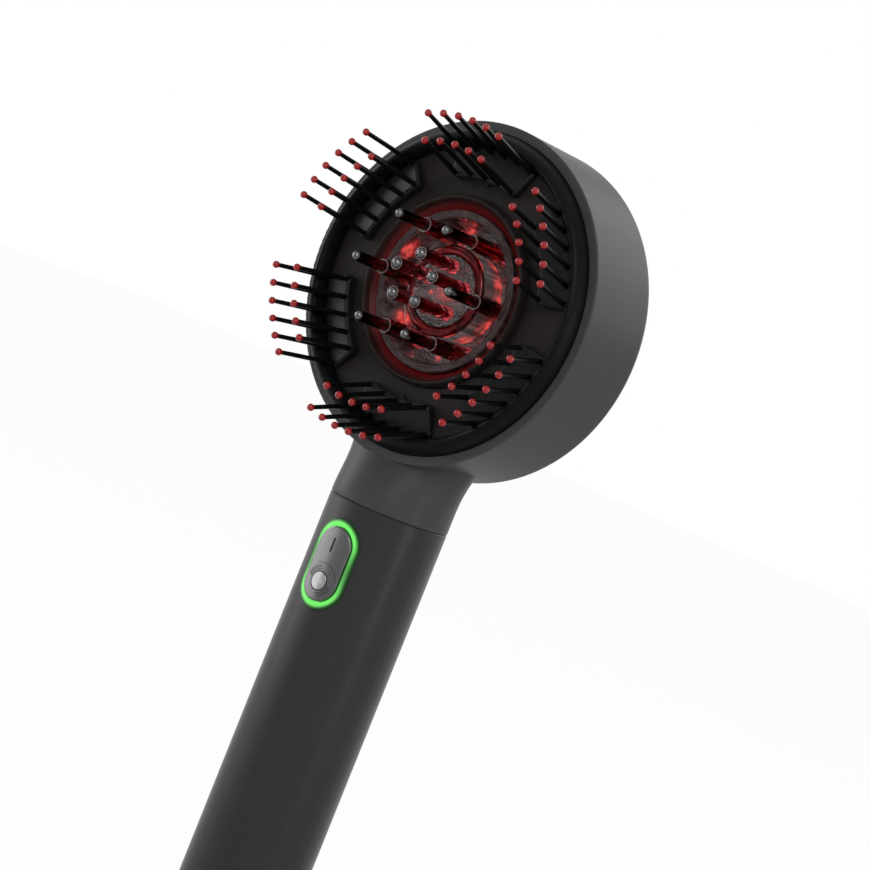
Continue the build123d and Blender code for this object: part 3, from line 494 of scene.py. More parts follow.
@dataclass(frozen=True)
class LitDish(Finish):
    """Clear dish with fine turned rings and red light coming up through it in patches, and rings of painted
    light and shade in its colour.

    Attributes:
        patches: Angle in degrees, radius, height and size in millimetres, and brightness of each patch.
        glow: Emission strength of the patches.
        clear: Transmission weight.
        specular: Specular level.
        ring: Width of a turned ring in millimetres.
        stretch: How slowly the rings change round the axis, in metres for each radian.
        relief: Depth of the rings in millimetres.
        blob: Size in millimetres of the breaks in the patches.
        dim: Colour of weak light.
        bright: Colour of full light.
    """

    patches: tuple[Patch, ...] = (
        (-145.0, 16.9, -6.4, 3.6, 1.0), (159.0, 17.2, -1.6, 4.2, 1.0), (108.0, 15.9, -7.0, 2.4, 0.9),
        (-91.0, 15.1, -7.0, 1.5, 0.8), (-35.0, 15.6, -7.0, 3.4, 0.9), (24.0, 15.6, -7.0, 3.4, 0.9),
        (66.0, 15.2, -7.0, 2.4, 0.7),
    )
    glow: float = 0.8
    clear: float = 0.55
    specular: float = 0.5
    ring: float = 0.32
    stretch: float = 0.0022
    relief: float = 0.07
    blob: float = 1.8
    dim: Color = (0.12, 0.003, 0.003)
    bright: Color = (0.85, 0.07, 0.055)

    def build(self, graph: Graph) -> None:
        """Rings and patches in the head's polar coordinates; the rings paint pale streaks and darker grooves
        into the base colour.
        """
        polar = {"X": graph.head_radius(), "Y": graph.head_angle() * self.stretch, "Z": 0.0}
        rings = graph.noise(self.ring, vector=graph.node("ShaderNodeCombineXYZ", None, polar)["Vector"])
        # Painted light and shade: the rings take the base colour down to a fifth in their grooves and leave
        # it pale between them, as streaks of light in clear plastic.
        groove = tuple(0.2 * channel for channel in self.color)
        graph.dress(
            Base_Color=rings.ramp((0.4, groove), (0.62, self.color)),
            Roughness=self.roughness + rings * 0.05,
            Specular_IOR_Level=self.specular,
            Transmission_Weight=self.clear,
            IOR=1.49,
            Emission_Strength=self.glow,
        )
        if self.glow:
            lit = self.light(graph, rings)
            graph.dress(Emission_Color=lit.ramp((0.0, BLACK), (0.3, self.dim), (1.0, self.bright)))
        graph.bump(rings, self.relief)

    def light(self, graph: Graph, rings: Value) -> Value:
        """Sum of the patches, broken up by the rings.

        Args:
            graph: The material's graph.
            rings: The turned rings.

        Returns:
            Brightness from 0 to 1.
        """
        x, y, z = graph.axes()
        total: Value | float = 0.0
        for angle, radius, height, size, level in self.patches:
            turn = math.radians(angle)
            across = x - radius * math.cos(turn) * MM
            out = y + (LIP_FORWARD + height) * MM
            up = z - (HEAD_HEIGHT + radius * math.sin(turn)) * MM
            near = 1.0 - (across * across + out * out + up * up).root().step(0.2 * size * MM, size * MM)
            total = near * level + total
        blob = graph.noise(self.blob, detail=4.0, rough=0.6)
        return (total * (blob * 3.2 - 0.85).above(0.0) * (0.45 + rings)).below(1.0)


@dataclass(frozen=True)
class Lacquered(Finish):
    """Glossy dipped plastic, such as the red pin tips.

    Attributes:
        depth: How much light enters the surface.
        specular: Specular level.
        coat: Clear coat weight.
        metallic: Share of tinted reflection, for a deep glassy red.
        cloud: Size in millimetres of the clouds in the colour.
        spread: Share by which the clouds vary the colour.
    """

    depth: float = 0.25
    specular: float = 0.25
    coat: float = 0.12
    metallic: float = 0.0
    cloud: float = 0.9
    spread: float = 0.08

    def build(self, graph: Graph) -> None:
        """Clear gloss over a slightly deeper colour."""
        cloud = graph.noise(self.cloud)
        graph.dress(
            Base_Color=self.shade(cloud, self.spread),
            Roughness=self.gloss(cloud, spread=0.05),
            Metallic=self.metallic,
            Specular_IOR_Level=self.specular,
            Coat_Weight=self.coat,
            Coat_Roughness=0.06,
            Subsurface_Weight=self.depth,
            Subsurface_Radius=(1.0, 0.15, 0.1),
            Subsurface_Scale=0.5 * MM,
        )


@dataclass(frozen=True)
class ClearPlastic(Finish):
    """Clear moulded plastic.

    Attributes:
        ior: Refractive index.
        glow: Emission strength of the tint, for light that the plastic guides.
        glow_color: Colour of that light.
        wave: Size of the moulding waves in millimetres.
        depth: Depth of the waves in millimetres.
    """

    ior: float = 1.49
    glow: float = 0.0
    glow_color: Color = (1.0, 0.05, 0.03)
    wave: float = 1.6
    depth: float = 0.01

    def build(self, graph: Graph) -> None:
        """Refracting plastic with faint moulding waves."""
        graph.dress(
            Base_Color=self.color,
            Roughness=self.roughness,
            IOR=self.ior,
            Transmission_Weight=1.0,
            Emission_Color=self.glow_color,
            Emission_Strength=self.glow,
        )
        graph.bump(graph.noise(self.wave, detail=2.0), self.depth, strength=0.6)


@dataclass(frozen=True)
class PolishedSteel(Finish):
    """Bright steel of the roller balls.

    Attributes:
        wear: Size of the worn spots in millimetres.
    """

    wear: float = 0.5

    def build(self, graph: Graph) -> None:
        """Polished metal with faint wear."""
        wear = graph.noise(self.wear, detail=4.0)
        graph.dress(
            Base_Color=self.shade(wear, spread=0.03),
            Metallic=1.0,
            Roughness=self.gloss(wear, spread=0.05),
        )


@dataclass(frozen=True)
class BrushedMetal(Finish):
    """Brushed metal with streaks along one axis.

    Attributes:
        along: Scale factors that stretch the streaks.
        streak: Width of a streak in millimetres.
        depth: Depth of the streaks in millimetres.
    """

    along: Point3 = (1.0, 1.0, 0.03)
    streak: float = 0.07
    depth: float = 0.0025

    def build(self, graph: Graph) -> None:
        """Long streaks in roughness and height."""
        streak = graph.noise(self.streak, vector=graph.stretched(self.along))
        graph.dress(
            Base_Color=self.shade(streak, spread=0.06),
            Metallic=1.0,
            Roughness=self.gloss(streak, spread=0.14),
        )
        graph.bump(streak, self.depth)


@dataclass(frozen=True)
class LitGuide(Finish):
    """Green light guide round the key, brightest along its inner edge and near its two emitters.

    Attributes:
        middle: Height of the pill's middle.
        straight: Length of the pill's straight part.
        inner: Half width of the key's opening.
        band: Width of the bright band.
        fade: Where the band starts and ends to fade, from its outer edge.
        ends: Distances above and below the middle between which it gets brighter.
        strength: Emission strength of the band.
    """

    middle: float = KEY_HEIGHT
    straight: float = 9.1
    inner: float = 5.05
    band: float = 0.95
    fade: Point2 = (-0.6, 0.4)
    ends: Point2 = (0.5, 8.5)
    strength: float = 1.0

    def build(self, graph: Graph) -> None:
        """Distance from the pill's centre line sets the brightness."""
        x, _, z = graph.axes()
        rise = z - self.middle * MM
        beyond = (abs(rise) - 0.5 * self.straight * MM).above(0.0)
        reach = (x * x + beyond * beyond).root()
        outer = (self.inner + self.band) * MM
        edge = 1.0 - reach.step(*(outer + place * MM for place in self.fade))
        ends = abs(rise).step(*(place * MM for place in self.ends))
        lit = edge * (0.35 + 0.65 * ends) + 0.03
        graph.dress(
            Base_Color=graph.mix(edge, (0.006, 0.018, 0.006), (0.05, 0.16, 0.045)),
            Roughness=self.roughness + graph.noise(0.8) * 0.06,
            Specular_IOR_Level=0.15,
            Emission_Color=lit.ramp((0.0, (0.0, 0.012, 0.0)), (0.4, (0.06, 0.26, 0.05)), (1.0, self.color)),
            Emission_Strength=self.strength,
        )


@dataclass(frozen=True)
class CircuitBoard(Finish):
    """Solder mask with copper tracks just showing.

    Attributes:
        scale: Scale of the pattern of tracks.
        width: Width of a track as a share of the pattern.
        depth: Height of the tracks in millimetres.
    """

    scale: float = 420.0
    width: float = 0.03
    depth: float = 0.02

    def build(self, graph: Graph) -> None:
        """Tracks as a fine brick-like relief under the mask."""
        inputs = {"Vector": graph.place(), "Scale": self.scale, "Mortar Size": self.width}
        track = graph.node("ShaderNodeTexBrick", None, inputs)["Fac"]
        raised = tuple(1.5 * channel for channel in self.color)
        graph.dress(
            Base_Color=graph.mix(track, self.color, raised),
            Roughness=self.roughness,
            Coat_Weight=0.3,
        )
        graph.bump(track, self.depth)


@dataclass(frozen=True)
class GlowingChip(Finish):
    """A lit red emitter.

    Attributes:
        strength: Emission strength.
    """

    strength: float = 6.0

    def build(self, graph: Graph) -> None:
        """Plain emission over a glossy cap."""
        graph.dress(
            Base_Color=self.color,
            Roughness=self.roughness,
            Emission_Color=self.color,
            Emission_Strength=self.strength,
        )


HUB_PATCHES: tuple[Patch, ...] = (
    (61.0, 11.0, -6.3, 3.0, 0.9), (34.0, 11.0, -5.9, 3.6, 1.0), (10.0, 11.0, -5.6, 3.2, 1.0),
    (-24.0, 11.0, -5.9, 3.8, 1.0), (-55.0, 11.0, -5.7, 3.8, 1.0), (-110.0, 11.0, -5.8, 3.2, 0.9),
    (-160.0, 11.0, -5.8, 3.2, 0.9), (150.0, 11.0, -5.8, 3.2, 0.9), (105.0, 11.0, -5.8, 3.2, 0.9),
    (-155.0, 3.5, 1.0, 1.2, 0.8),
)


class Finishes(Enum):
    """Every finish of the object."""

    HEAD = MouldedPlastic("charcoal_head", "head_plastic", (0.062, 0.061, 0.061), 0.38, specular=0.07)
    HANDLE = MouldedPlastic("charcoal_handle", "handle_plastic", (0.028, 0.028, 0.028), 0.34, specular=0.15)
    BEZEL = MouldedPlastic(
        "black_bezel", "bezel_black", (0.004, 0.004, 0.004), 0.42, depth=0.002, specular=0.06
    )
    # Painted red light on the face plate round the applicator.
    FACE = RedLitEdge("dark_face", "face_dark", (0.017, 0.014, 0.013), 0.42, specular=0.08)
    PAD = Rubber("black_pad", "pad_black", (0.008, 0.008, 0.008), 0.42, specular=0.12)
    PIN = MouldedPlastic("black_pin", "pin_black", (0.004, 0.004, 0.004), 0.35, depth=0.001, specular=0.08)
    TIP = Lacquered("red_tip", "tip_red", (0.34, 0.008, 0.010), 0.22, depth=0.1)
    CLEAR = LitDish("clear_dish", "clear_plastic", (0.50, 0.48, 0.48), 0.08)
    HUB = LitDish("clear_hub", "clear_plastic", (0.50, 0.48, 0.48), 0.06, patches=HUB_PATCHES, clear=0.7)
    FLANGE = LitDish(
        "clear_flange", "clear_plastic", (0.085, 0.052, 0.052), 0.35, clear=0.12, glow=0.0, specular=0.15
    )
    # Painted glint: the teeth are lighter and less clear than the hub's plastic, so that they glint.
    TEETH = LitDish("clear_teeth", "clear_plastic", (0.60, 0.58, 0.58), 0.05, clear=0.5, glow=0.0)
    NEEDLE = ClearPlastic("clear_needle", "clear_plastic", (0.40, 0.045, 0.055), 0.04)
    # Painted highlight: a pale ring that glows faintly, for the needles' bright steps and mouths.
    HIGHLIGHT_RIM = ClearPlastic(
        "painted_highlight_rim", "clear_plastic", (0.6, 0.56, 0.56), 0.12, glow=0.05, glow_color=(1.0, 0.9, 0.9)
    )
    TANK = ClearPlastic("clear_tank", "clear_plastic", (0.92, 0.88, 0.88), 0.10)
    # Painted red light in the light ring, strongest towards the applicator.
    RED_CLEAR = RedLitEdge("red_light_ring", "red_clear", (0.010, 0.006, 0.006), 0.4, specular=0.12)
    # Painted reflection: the large, strong clouds in the colour paint dark and bright red streaks, standing
    # for the gasket's reflections.
    RED_RUBBER = Lacquered(
        "red_gasket", "red_rubber", (0.08, 0.002, 0.003), 0.12,
        depth=0.0, specular=0.25, coat=0.04, metallic=0.6, cloud=3.0, spread=0.85,
    )
    BLACK_RUBBER = Rubber("dull_rubber", "black_rubber", (0.012, 0.012, 0.012), 0.6)
    REFLECTOR = MouldedPlastic("bright_reflector", "bright_plastic", (0.5, 0.48, 0.48), 0.3, depth=0.01)
    EMITTER = GlowingChip("lit_emitter", "red_emitter", (1.0, 0.03, 0.02), 0.3)
    WHITE_BOARD = CircuitBoard("white_board", "board_white", (0.6, 0.6, 0.58), 0.4)
    GREEN_BOARD = CircuitBoard("green_board", "board_green", (0.02, 0.12, 0.05), 0.35)
    CHIP = MouldedPlastic("moulded_chip", "chip_black", (0.015, 0.015, 0.015), 0.6)
    STEEL = BrushedMetal("plain_steel", "steel", (0.5, 0.5, 0.5), 0.35)
    BALL = PolishedSteel("polished_ball", "ball_steel", (0.10, 0.10, 0.102), 0.08)
    BRASS = BrushedMetal("turned_brass", "brass", (0.6, 0.42, 0.16), 0.3, along=(0.03, 0.03, 1.0))
    KEY = BrushedMetal("brushed_key", "key_metal", (0.095, 0.095, 0.097), 0.29, along=(1.0, 1.0, 0.04))
    # Painted shade: near-black strips for the shade in the key's engraved grooves.
    KEY_GROOVE_SHADE = MouldedPlastic("key_groove_shade", "key_metal", (0.006, 0.006, 0.006), 0.4, depth=0.001, specular=0.1)
    KEY_DISC = BrushedMetal("key_disc", "key_metal", (0.19, 0.19, 0.195), 0.22, along=(1.0, 1.0, 0.2))
    GUIDE = LitGuide("green_guide", "green_clear", (0.15, 0.80, 0.12), 0.3)
    INNER = MouldedPlastic("grey_inner", "inner_plastic", (0.04, 0.04, 0.04), 0.55)
    CELL = MouldedPlastic("cell_sleeve", "cell_metal", (0.03, 0.09, 0.28), 0.3, depth=0.001)


NODE_FINISHES: dict[str, Finishes] = {
    "head_housing": Finishes.HEAD,
    "handle_shell": Finishes.HANDLE,
    "base_cap": Finishes.HANDLE,
    "bezel_ring": Finishes.BEZEL,
    "face_plate": Finishes.FACE,
    "comb_pad": Finishes.PAD,
    "comb_pins": Finishes.PIN,
    "comb_tips": Finishes.TIP,
    "light_ring": Finishes.RED_CLEAR,
    "applicator_cup": Finishes.CLEAR,
    "needle_tubes": Finishes.NEEDLE,
    "hub_gasket": Finishes.RED_RUBBER,
    "cup_seal": Finishes.BLACK_RUBBER,
    "liquid_tank": Finishes.TANK,
    "roller_ball": Finishes.BALL,
    "reflector": Finishes.REFLECTOR,
    "light_emitters": Finishes.EMITTER,
    "emitter_board": Finishes.WHITE_BOARD,
    "motor_can": Finishes.STEEL,
    "motor_shaft": Finishes.STEEL,
    "eccentric_weight": Finishes.BRASS,
    "motor_cradle": Finishes.BLACK_RUBBER,
    "rocker_key": Finishes.KEY,
    "key_light_guide": Finishes.GUIDE,
    "key_bracket": Finishes.INNER,
    "tact_switches": Finishes.CHIP,
    "main_board": Finishes.GREEN_BOARD,
    "board_parts": Finishes.CHIP,
    "board_screws": Finishes.STEEL,
    "chassis": Finishes.INNER,
    "battery_cell": Finishes.CELL,
    "charge_board": Finishes.GREEN_BOARD,
    "charge_socket": Finishes.STEEL,
}


# ---------------------------------------------------------------- mesh work
def ride_on(node: str) -> str:
    """The body that carries a CAD node.

    Args:
        node: Name of the CAD node.

    Returns:
        Name of its body.
    """
    return body_of(bpy.data.objects[node])[0]


class Form:
    """A mesh in the making, in millimetres until it is finished."""

    def __init__(self) -> None:
        """Start empty."""
        self.mesh = bmesh.new()

    def lathe(
        self, profile: Iterable[Point2], steps: int, closed: bool = True, sweep: float = 360.0
    ) -> Form:
        """Spin an outline about Z.

        Args:
            profile: Points as radius and height.
            steps: Segments round the circle.
            closed: Whether the last point joins the first; not so where both are on the axis.
            sweep: Angle in degrees; less than a whole turn leaves an arc with closed ends.

        Returns:
            This form.
        """
        points = list(profile)
        made = [self.mesh.verts.new((radius, 0.0, height)) for radius, height in points]
        pairs = list(zip(made, made[1:])) + ([(made[-1], made[0])] if closed else [])
        edges = [self.mesh.edges.new(pair) for pair in pairs]
        bmesh.ops.spin(
            self.mesh,
            geom=made + edges,
            cent=(0, 0, 0),
            axis=(0, 0, 1),
            angle=math.radians(sweep),
            steps=steps,
            use_merge=sweep >= 360.0,
        )
        bmesh.ops.remove_doubles(self.mesh, verts=self.mesh.verts[:], dist=1e-5)
        if sweep < 360.0:
            ends = [edge for edge in self.mesh.edges if edge.is_boundary]
            bmesh.ops.holes_fill(self.mesh, edges=ends, sides=0)
        bmesh.ops.recalc_face_normals(self.mesh, faces=self.mesh.faces[:])
        return self

    def ring(
        self, radius: float, section: float, height: float, steps: int, sides: int = 10, tall: float = 1.0
    ) -> Form:
        """Add a ring of round or oval section about Z.

        Args:
            radius: Radius of the ring's centre line.
            section: Half width of its section.
            height: Height of its centre line.
            steps: Segments round the ring.
            sides: Segments round the section.
            tall: The section's height over its width.

        Returns:
            This form.
        """
        turns = [math.tau * index / sides for index in range(sides)]
        outline = [
            (radius + section * math.cos(turn), height + tall * section * math.sin(turn)) for turn in turns
        ]
        return self.lathe(outline, steps)

    def wrapped(self, radius: float, height: float) -> Form:
        """Bend a flat form round the handle's axis, so that its z becomes the distance out of a round front.

        Args:
            radius: Radius of the front.
            height: Height that the form's y = 0 goes to.

        Returns:
            This form.
        """
        for vert in self.mesh.verts:
            across, up, lift = vert.co
            turn = across / radius
            vert.co = ((radius + lift) * math.sin(turn), -(radius + lift) * math.cos(turn), height + up)
        return self

    def moved(self, matrix: Matrix) -> Form:
        """Apply a transform to everything so far."""
        bmesh.ops.transform(self.mesh, matrix=matrix, verts=self.mesh.verts[:])
        return self

    def add(self, other: Form, matrices: Iterable[Matrix]) -> Form:
        """Add copies of another form.

        Args:
            other: The form to copy.
            matrices: One transform for each copy.

        Returns:
            This form.
        """
        spare = bpy.data.meshes.new("spare")
        other.mesh.to_mesh(spare)
        for matrix in matrices:
            copy = spare.copy()
            copy.transform(matrix)
            self.mesh.from_mesh(copy)
            bpy.data.meshes.remove(copy)
        bpy.data.meshes.remove(spare)
        return self

    def finish(
        self, name: str, body: str, finish: Finishes, sharp: float = 35.0, replaces: Sequence[str] = ()
    ) -> None:
        """Write the mesh as an object.

        Args:
            name: The object's name.
            body: The body that it rides on.
            finish: Its finish.
            sharp: Angle in degrees over which an edge stays crisp.
            replaces: CAD nodes that it stands for.
        """
        self.moved(Matrix.Scale(MM, 4))
        for face in self.mesh.faces:
            face.smooth = True
        for edge in self.mesh.edges:
            if len(edge.link_faces) == 2:
                edge.smooth = edge.calc_face_angle(0.0) < math.radians(sharp)
        mesh = bpy.data.meshes.new(name)
        self.mesh.to_mesh(mesh)
        self.mesh.free()
        made = bpy.data.objects.new(name, mesh)
        bpy.context.scene.collection.objects.link(made)
        made.data.materials.append(finish.value.material())
        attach(made, body)
        if replaces:
            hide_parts(*replaces)
        LOG.info("%s: %d faces on %s", name, len(mesh.polygons), body)


def spinning(count: int, first: float = 0.0, radius: float = 0.0) -> list[Matrix]:
    """Even places round Z.

    Args:
        count: Number of places.
        first: First angle in degrees.
        radius: Distance from the axis.

    Returns:
        One matrix for each.
    """
    out = Matrix.Translation((radius, 0, 0))
    turns = [math.radians(first + 360.0 * index / count) for index in range(count)]
    return [Matrix.Rotation(turn, 4, "Z") @ out for turn in turns]


def rounded(points: Sequence[Point3], steps: int = 6) -> list[Point2]:
    """Round the corners of an outline.

    Args:
        points: Corners as radius, height and corner radius.
        steps: Segments in each rounded corner.

    Returns:
        The outline's points.
    """
    outline: list[Point2] = []
    count = len(points)
    for index, (x, y, round_radius) in enumerate(points):
        if round_radius <= 0:
            outline.append((x, y))
            continue
        here = Vector((x, y))
        before = Vector(points[index - 1][:2]) - here
        after = Vector(points[(index + 1) % count][:2]) - here
        before.normalize()
        after.normalize()
        half = before.angle(after) / 2
        reach = round_radius / math.tan(half)
        centre = here + (before + after).normalized() * (round_radius / math.sin(half))
        start = here + before * reach - centre
        end = here + after * reach - centre
        turn = start.angle_signed(end)
        for step in range(steps + 1):
            arm = start.copy()
            arm.rotate(Matrix.Rotation(-turn * step / steps, 2))
            outline.append(tuple(centre + arm))
    return outline


def dress_nodes(nodes: dict[str, bpy.types.Object]) -> None:
    """Give every CAD node the material of its finish.

    Args:
        nodes: The CAD nodes by name.
    """
    for name, node in nodes.items():
        key = name if name in NODE_FINISHES else name.rstrip("0123456789").rstrip("_")
        finish = NODE_FINISHES[key]
        node.data.materials.clear()
        node.data.materials.append(finish.value.material())


def smooth_line(points: Sequence[Point2], steps: int = 6) -> list[Point2]:
    """Draw a smooth line through points.

    Args:
        points: The points, as radius and height.
        steps: Segments between two points.

    Returns:
        The line's points, ends included.
    """
    ends = [points[0], *points, points[-1]]
    line: list[Point2] = []
    for before, start, end, after in zip(ends, ends[1:], ends[2:], ends[3:]):
        p0, p1, p2, p3 = (Vector((*point, 0.0)) for point in (before, start, end, after))
        run = interpolate_bezier(p1, p1 + (p2 - p0) / 6, p2 - (p3 - p1) / 6, p2, steps + 1)
        line.extend((point.x, point.y) for point in run[:-1])
    return [*line, points[-1]]


def ball_seat(radius: float, height: float, bore: float, steps: int = 4) -> list[Point2]:
    """Round seat that a ball sits in.

    Args:
        radius: Radius of the seat.
        height: Height of its centre.
        bore: Radius of the bore that it ends in.
        steps: Segments of its arc.

    Returns:
        Points from the seat's widest place down to the bore.
    """
    reach = math.acos(bore / radius)
    turns = [reach * index / steps for index in range(steps + 1)]
    return [(radius * math.cos(turn), height - radius * math.sin(turn)) for turn in turns]


# ---------------------------------------------------------------- bezel
@dataclass
class Bezel:
    """Black ring that stands proud of the drum's lip.

    Attributes:
        outer: Outer radius.
        skirt: Width of the skirt that goes down beside the face plate.
        depth: Depth of the skirt.
        foot: Height of the flat that lies on the face plate.
        crown: The rounded top's points, from the outside in.
        steps: Segments round the ring.
    """

    outer: float = 39.05
    skirt: float = 0.95
    depth: float = 3.0
    foot: float = 0.02
    crown: tuple[Point2, ...] = (
        (39.05, -0.3), (38.92, 0.8), (38.5, 2.1), (37.8, 3.2), (36.95, 3.68), (36.1, 3.4), (35.4, 2.3),
        (34.98, 1.0), (34.9, 0.02),
    )
    steps: int = 224

    def build(self) -> None:
        """Spin the section and put it on the head."""
        inside = self.outer - self.skirt
        outline = [(inside, self.foot), (inside, -self.depth), (self.outer, -self.depth)]
        ring = Form().lathe([*outline, *smooth_line(self.crown)], self.steps).moved(HEAD)
        ring.finish("bezel", ride_on("bezel_ring"), Finishes.BEZEL, 50.0, ["bezel_ring"])


# ---------------------------------------------------------------- applicator
@dataclass
class Applicator:
    """Clear dish with its flange, hub, needles and red gasket.

    Attributes:
        rim: Radius of the flange's edge.
        rim_inner: Radius where the flange ends and the wall starts.
        rim_under: Height of the flange's underside.
        wall: Radius of the wall at the floor.
        wall_top: Height of the wall's top.
        wall_rings: Number of turned rings in the wall, ridges and grooves alike.
        wall_ridge: How deep the wall's rings are.
        corner_size: Width and height of the corner between wall and floor.
        corner: Points of the corner, as inset from the wall and height over the floor.
        floor: Height of the floor.
        floor_rings: Number of turned rings in the floor.
        floor_ridge: How deep the floor's rings are.
        skirt: Radius of the dish's outside, under the flange.
        back: Height of the dish's back.
        steps: Segments round the flange and the dish.
        hub: Radius of the hub.
        hub_top: The hub's top with its groove, as inset from the hub's edge and height.
        hub_steps: Segments round the hub and the gasket.
        shoulder: Radius and height of the step round the hub.
        teeth: Number of teeth round the hub's top.
        tooth: Length, width and height of a tooth.
        crest: Shares of its length and width that are left at its crest.
        gasket_section: Half width and height of the gasket's section.
        outer_circle: Radius of the circle of the outer needles.
        inner_circle: Radius of the circle of the inner needles.
        outer_count: Number of outer needles.
        inner_count: Number of inner needles.
        bore: Radius of every needle's bore.
        outer_seat: Radius and height of the round seats in the outer needles, clear of a ball pressed in.
        inner_seat: The same for the inner needles.
        outer_tube: The outside of the stepped outer needles, from the foot up to the mouth.
        inner_tube: The same for the plain inner needles.
        step_edge: Radius, half width and height of the pale glowing ring on an outer needle's step, a painted
            highlight.
        mouth_edge: The same for the painted highlight ring round an inner needle's mouth.
        tube_steps: Segments round a needle.
        body: The body that carries all of it.
    """

    rim: float = 19.5
    rim_inner: float = 17.5
    rim_under: float = -0.35
    wall: float = 17.1
    wall_top: float = 0.92
    wall_rings: int = 16
    wall_ridge: float = 0.05
    corner_size: Point2 = (0.9, 0.8)
    corner: tuple[Point2, ...] = ((0.12, 0.45), (0.5, 0.1))
    floor: float = -7.0
    floor_rings: int = 18
    floor_ridge: float = 0.06
    skirt: float = 18.4
    back: float = -8.2
    steps: int = 160
    hub: float = 8.6
    hub_top: tuple[Point2, ...] = (
        (1.5, 1.0), (1.4, 0.8), (1.2, 0.8), (1.1, 1.0), (0.2, 1.0), (0.05, 0.93), (0.0, 0.8),
    )
    hub_steps: int = 128
    shoulder: Point2 = (11.0, -0.3)
    teeth: int = 64
    tooth: Point3 = (1.15, 0.5, 0.42)
    crest: Point3 = (0.8, 0.3, 1.0)
    gasket_section: Point2 = (1.2, 0.45)
    outer_circle: float = 14.5
    inner_circle: float = 5.9
    outer_count: int = 6
    inner_count: int = 5
    bore: float = 0.6
    outer_seat: Point2 = (1.13, 17.07)
    inner_seat: Point2 = (1.36, 13.2)
    outer_tube: tuple[Point2, ...] = (
        (2.45, -6.9), (2.25, -6.4), (2.08, -5.6), (1.8, 7.2), (1.73, 7.37), (1.36, 7.37), (1.25, 17.55),
        (1.18, 17.7),
    )
    inner_tube: tuple[Point2, ...] = ((1.95, 1.03), (1.7, 1.4), (1.55, 2.2), (1.55, 13.7), (1.45, 13.84))
    step_edge: Point3 = (1.66, 0.12, 7.44)
    mouth_edge: Point3 = (1.45, 0.11, 13.86)
    tube_steps: int = 40
    body: str = field(init=False)

    def build(self) -> None:
        """Make every piece of the applicator."""
        self.body = ride_on("applicator_cup")
        self.flange()
        self.dish()
        self.hub_plate()
        self.tooth_ring()
        self.gasket()
        self.needles()

    def flange(self) -> None:
        """Faintly pink rim that rests over the light ring."""
        top = [(self.rim, 1.15, 0.4), (self.rim_inner, 0.98, 0.3)]
        outline = [(self.rim, self.rim_under, 0.0), *top, (self.rim_inner, self.rim_under, 0.0)]
        rim = Form().lathe(rounded(outline), self.steps).moved(HEAD)
        rim.finish("applicator_flange", self.body, Finishes.FLANGE, 40.0)

    def dish(self) -> None:
        """Wall and floor with fine turned rings, open to the front."""
        shoulder, _ = self.shoulder
        wide, high = self.corner_size
        drop = (self.wall_top - self.floor - high) / self.wall_rings
        taper = self.rim_inner - self.wall
        wall = [
            (
                self.rim_inner - 0.04 - taper * index / self.wall_rings + self.wall_ridge * (index % 2),
                self.wall_top - drop * index,
            )
            for index in range(self.wall_rings + 1)
        ]
        corner = [(self.wall - inset, self.floor + height) for inset, height in self.corner]
        width = (self.wall - wide - shoulder) / self.floor_rings
        floor = [
            (self.wall - wide - width * index, self.floor + self.floor_ridge * (index % 2))
            for index in range(self.floor_rings + 1)
        ]
        under = self.rim_under - 0.02
        behind = [(shoulder + 0.02, self.back), (self.skirt, self.back), (self.skirt, under)]
        outline = [*wall, *corner, *floor, *behind, (self.rim_inner - 0.03, under)]
        dish = Form().lathe(outline, self.steps).moved(HEAD)
        dish.finish("applicator_dish", self.body, Finishes.CLEAR, 40.0, ["applicator_cup"])

    def hub_plate(self) -> None:
        """Hub with a groove round its top and the step that the gasket lies on."""
        shoulder, ledge = self.shoulder
        top = [(0.0, self.hub_top[0][1]), *((self.hub - inset, height) for inset, height in self.hub_top)]
        step = [(self.hub, ledge), (shoulder, ledge), (shoulder, self.back), (0.0, self.back)]
        hub = Form().lathe([*top, *step], self.hub_steps, closed=False).moved(HEAD)
        hub.finish("applicator_hub", self.body, Finishes.HUB, 40.0)

    def tooth_ring(self) -> None:
        """Ring of small teeth round the hub's top."""
        tooth = Form()
        bmesh.ops.create_cube(tooth.mesh, size=1.0)
        bmesh.ops.scale(tooth.mesh, vec=self.tooth, verts=tooth.mesh.verts[:])
        crest = [vert for vert in tooth.mesh.verts if vert.co.z > 0]
        bmesh.ops.scale(tooth.mesh, vec=self.crest, verts=crest)
        bmesh.ops.translate(tooth.mesh, vec=(self.hub - 0.65, 0, 1.19), verts=tooth.mesh.verts[:])
        ring = Form().add(tooth, spinning(self.teeth)).moved(HEAD)
        tooth.mesh.free()
        ring.finish("hub_teeth", self.body, Finishes.TEETH, 20.0)

    def gasket(self) -> None:
        """Red ring round the hub."""
        section, height = self.gasket_section
        ring = Form().ring(self.hub + 1.15, section, height, self.hub_steps, sides=24, tall=0.65).moved(HEAD)
        ring.finish("gasket_ring", self.body, Finishes.RED_RUBBER, 60.0, ["hub_gasket"])

    def tube(self, outside: Sequence[Point2], seat: Point2) -> Form:
        """One needle, standing on the axis.

        Args:
            outside: Points of its outside, from the foot up to the mouth.
            seat: Radius and height of its ball's seat.

        Returns:
            The form.
        """
        foot, mouth = outside[0][1], outside[-1][1]
        outline = [(self.bore, foot), *outside, (seat[0], mouth), *ball_seat(*seat, self.bore)]
        return Form().lathe(outline, self.tube_steps)

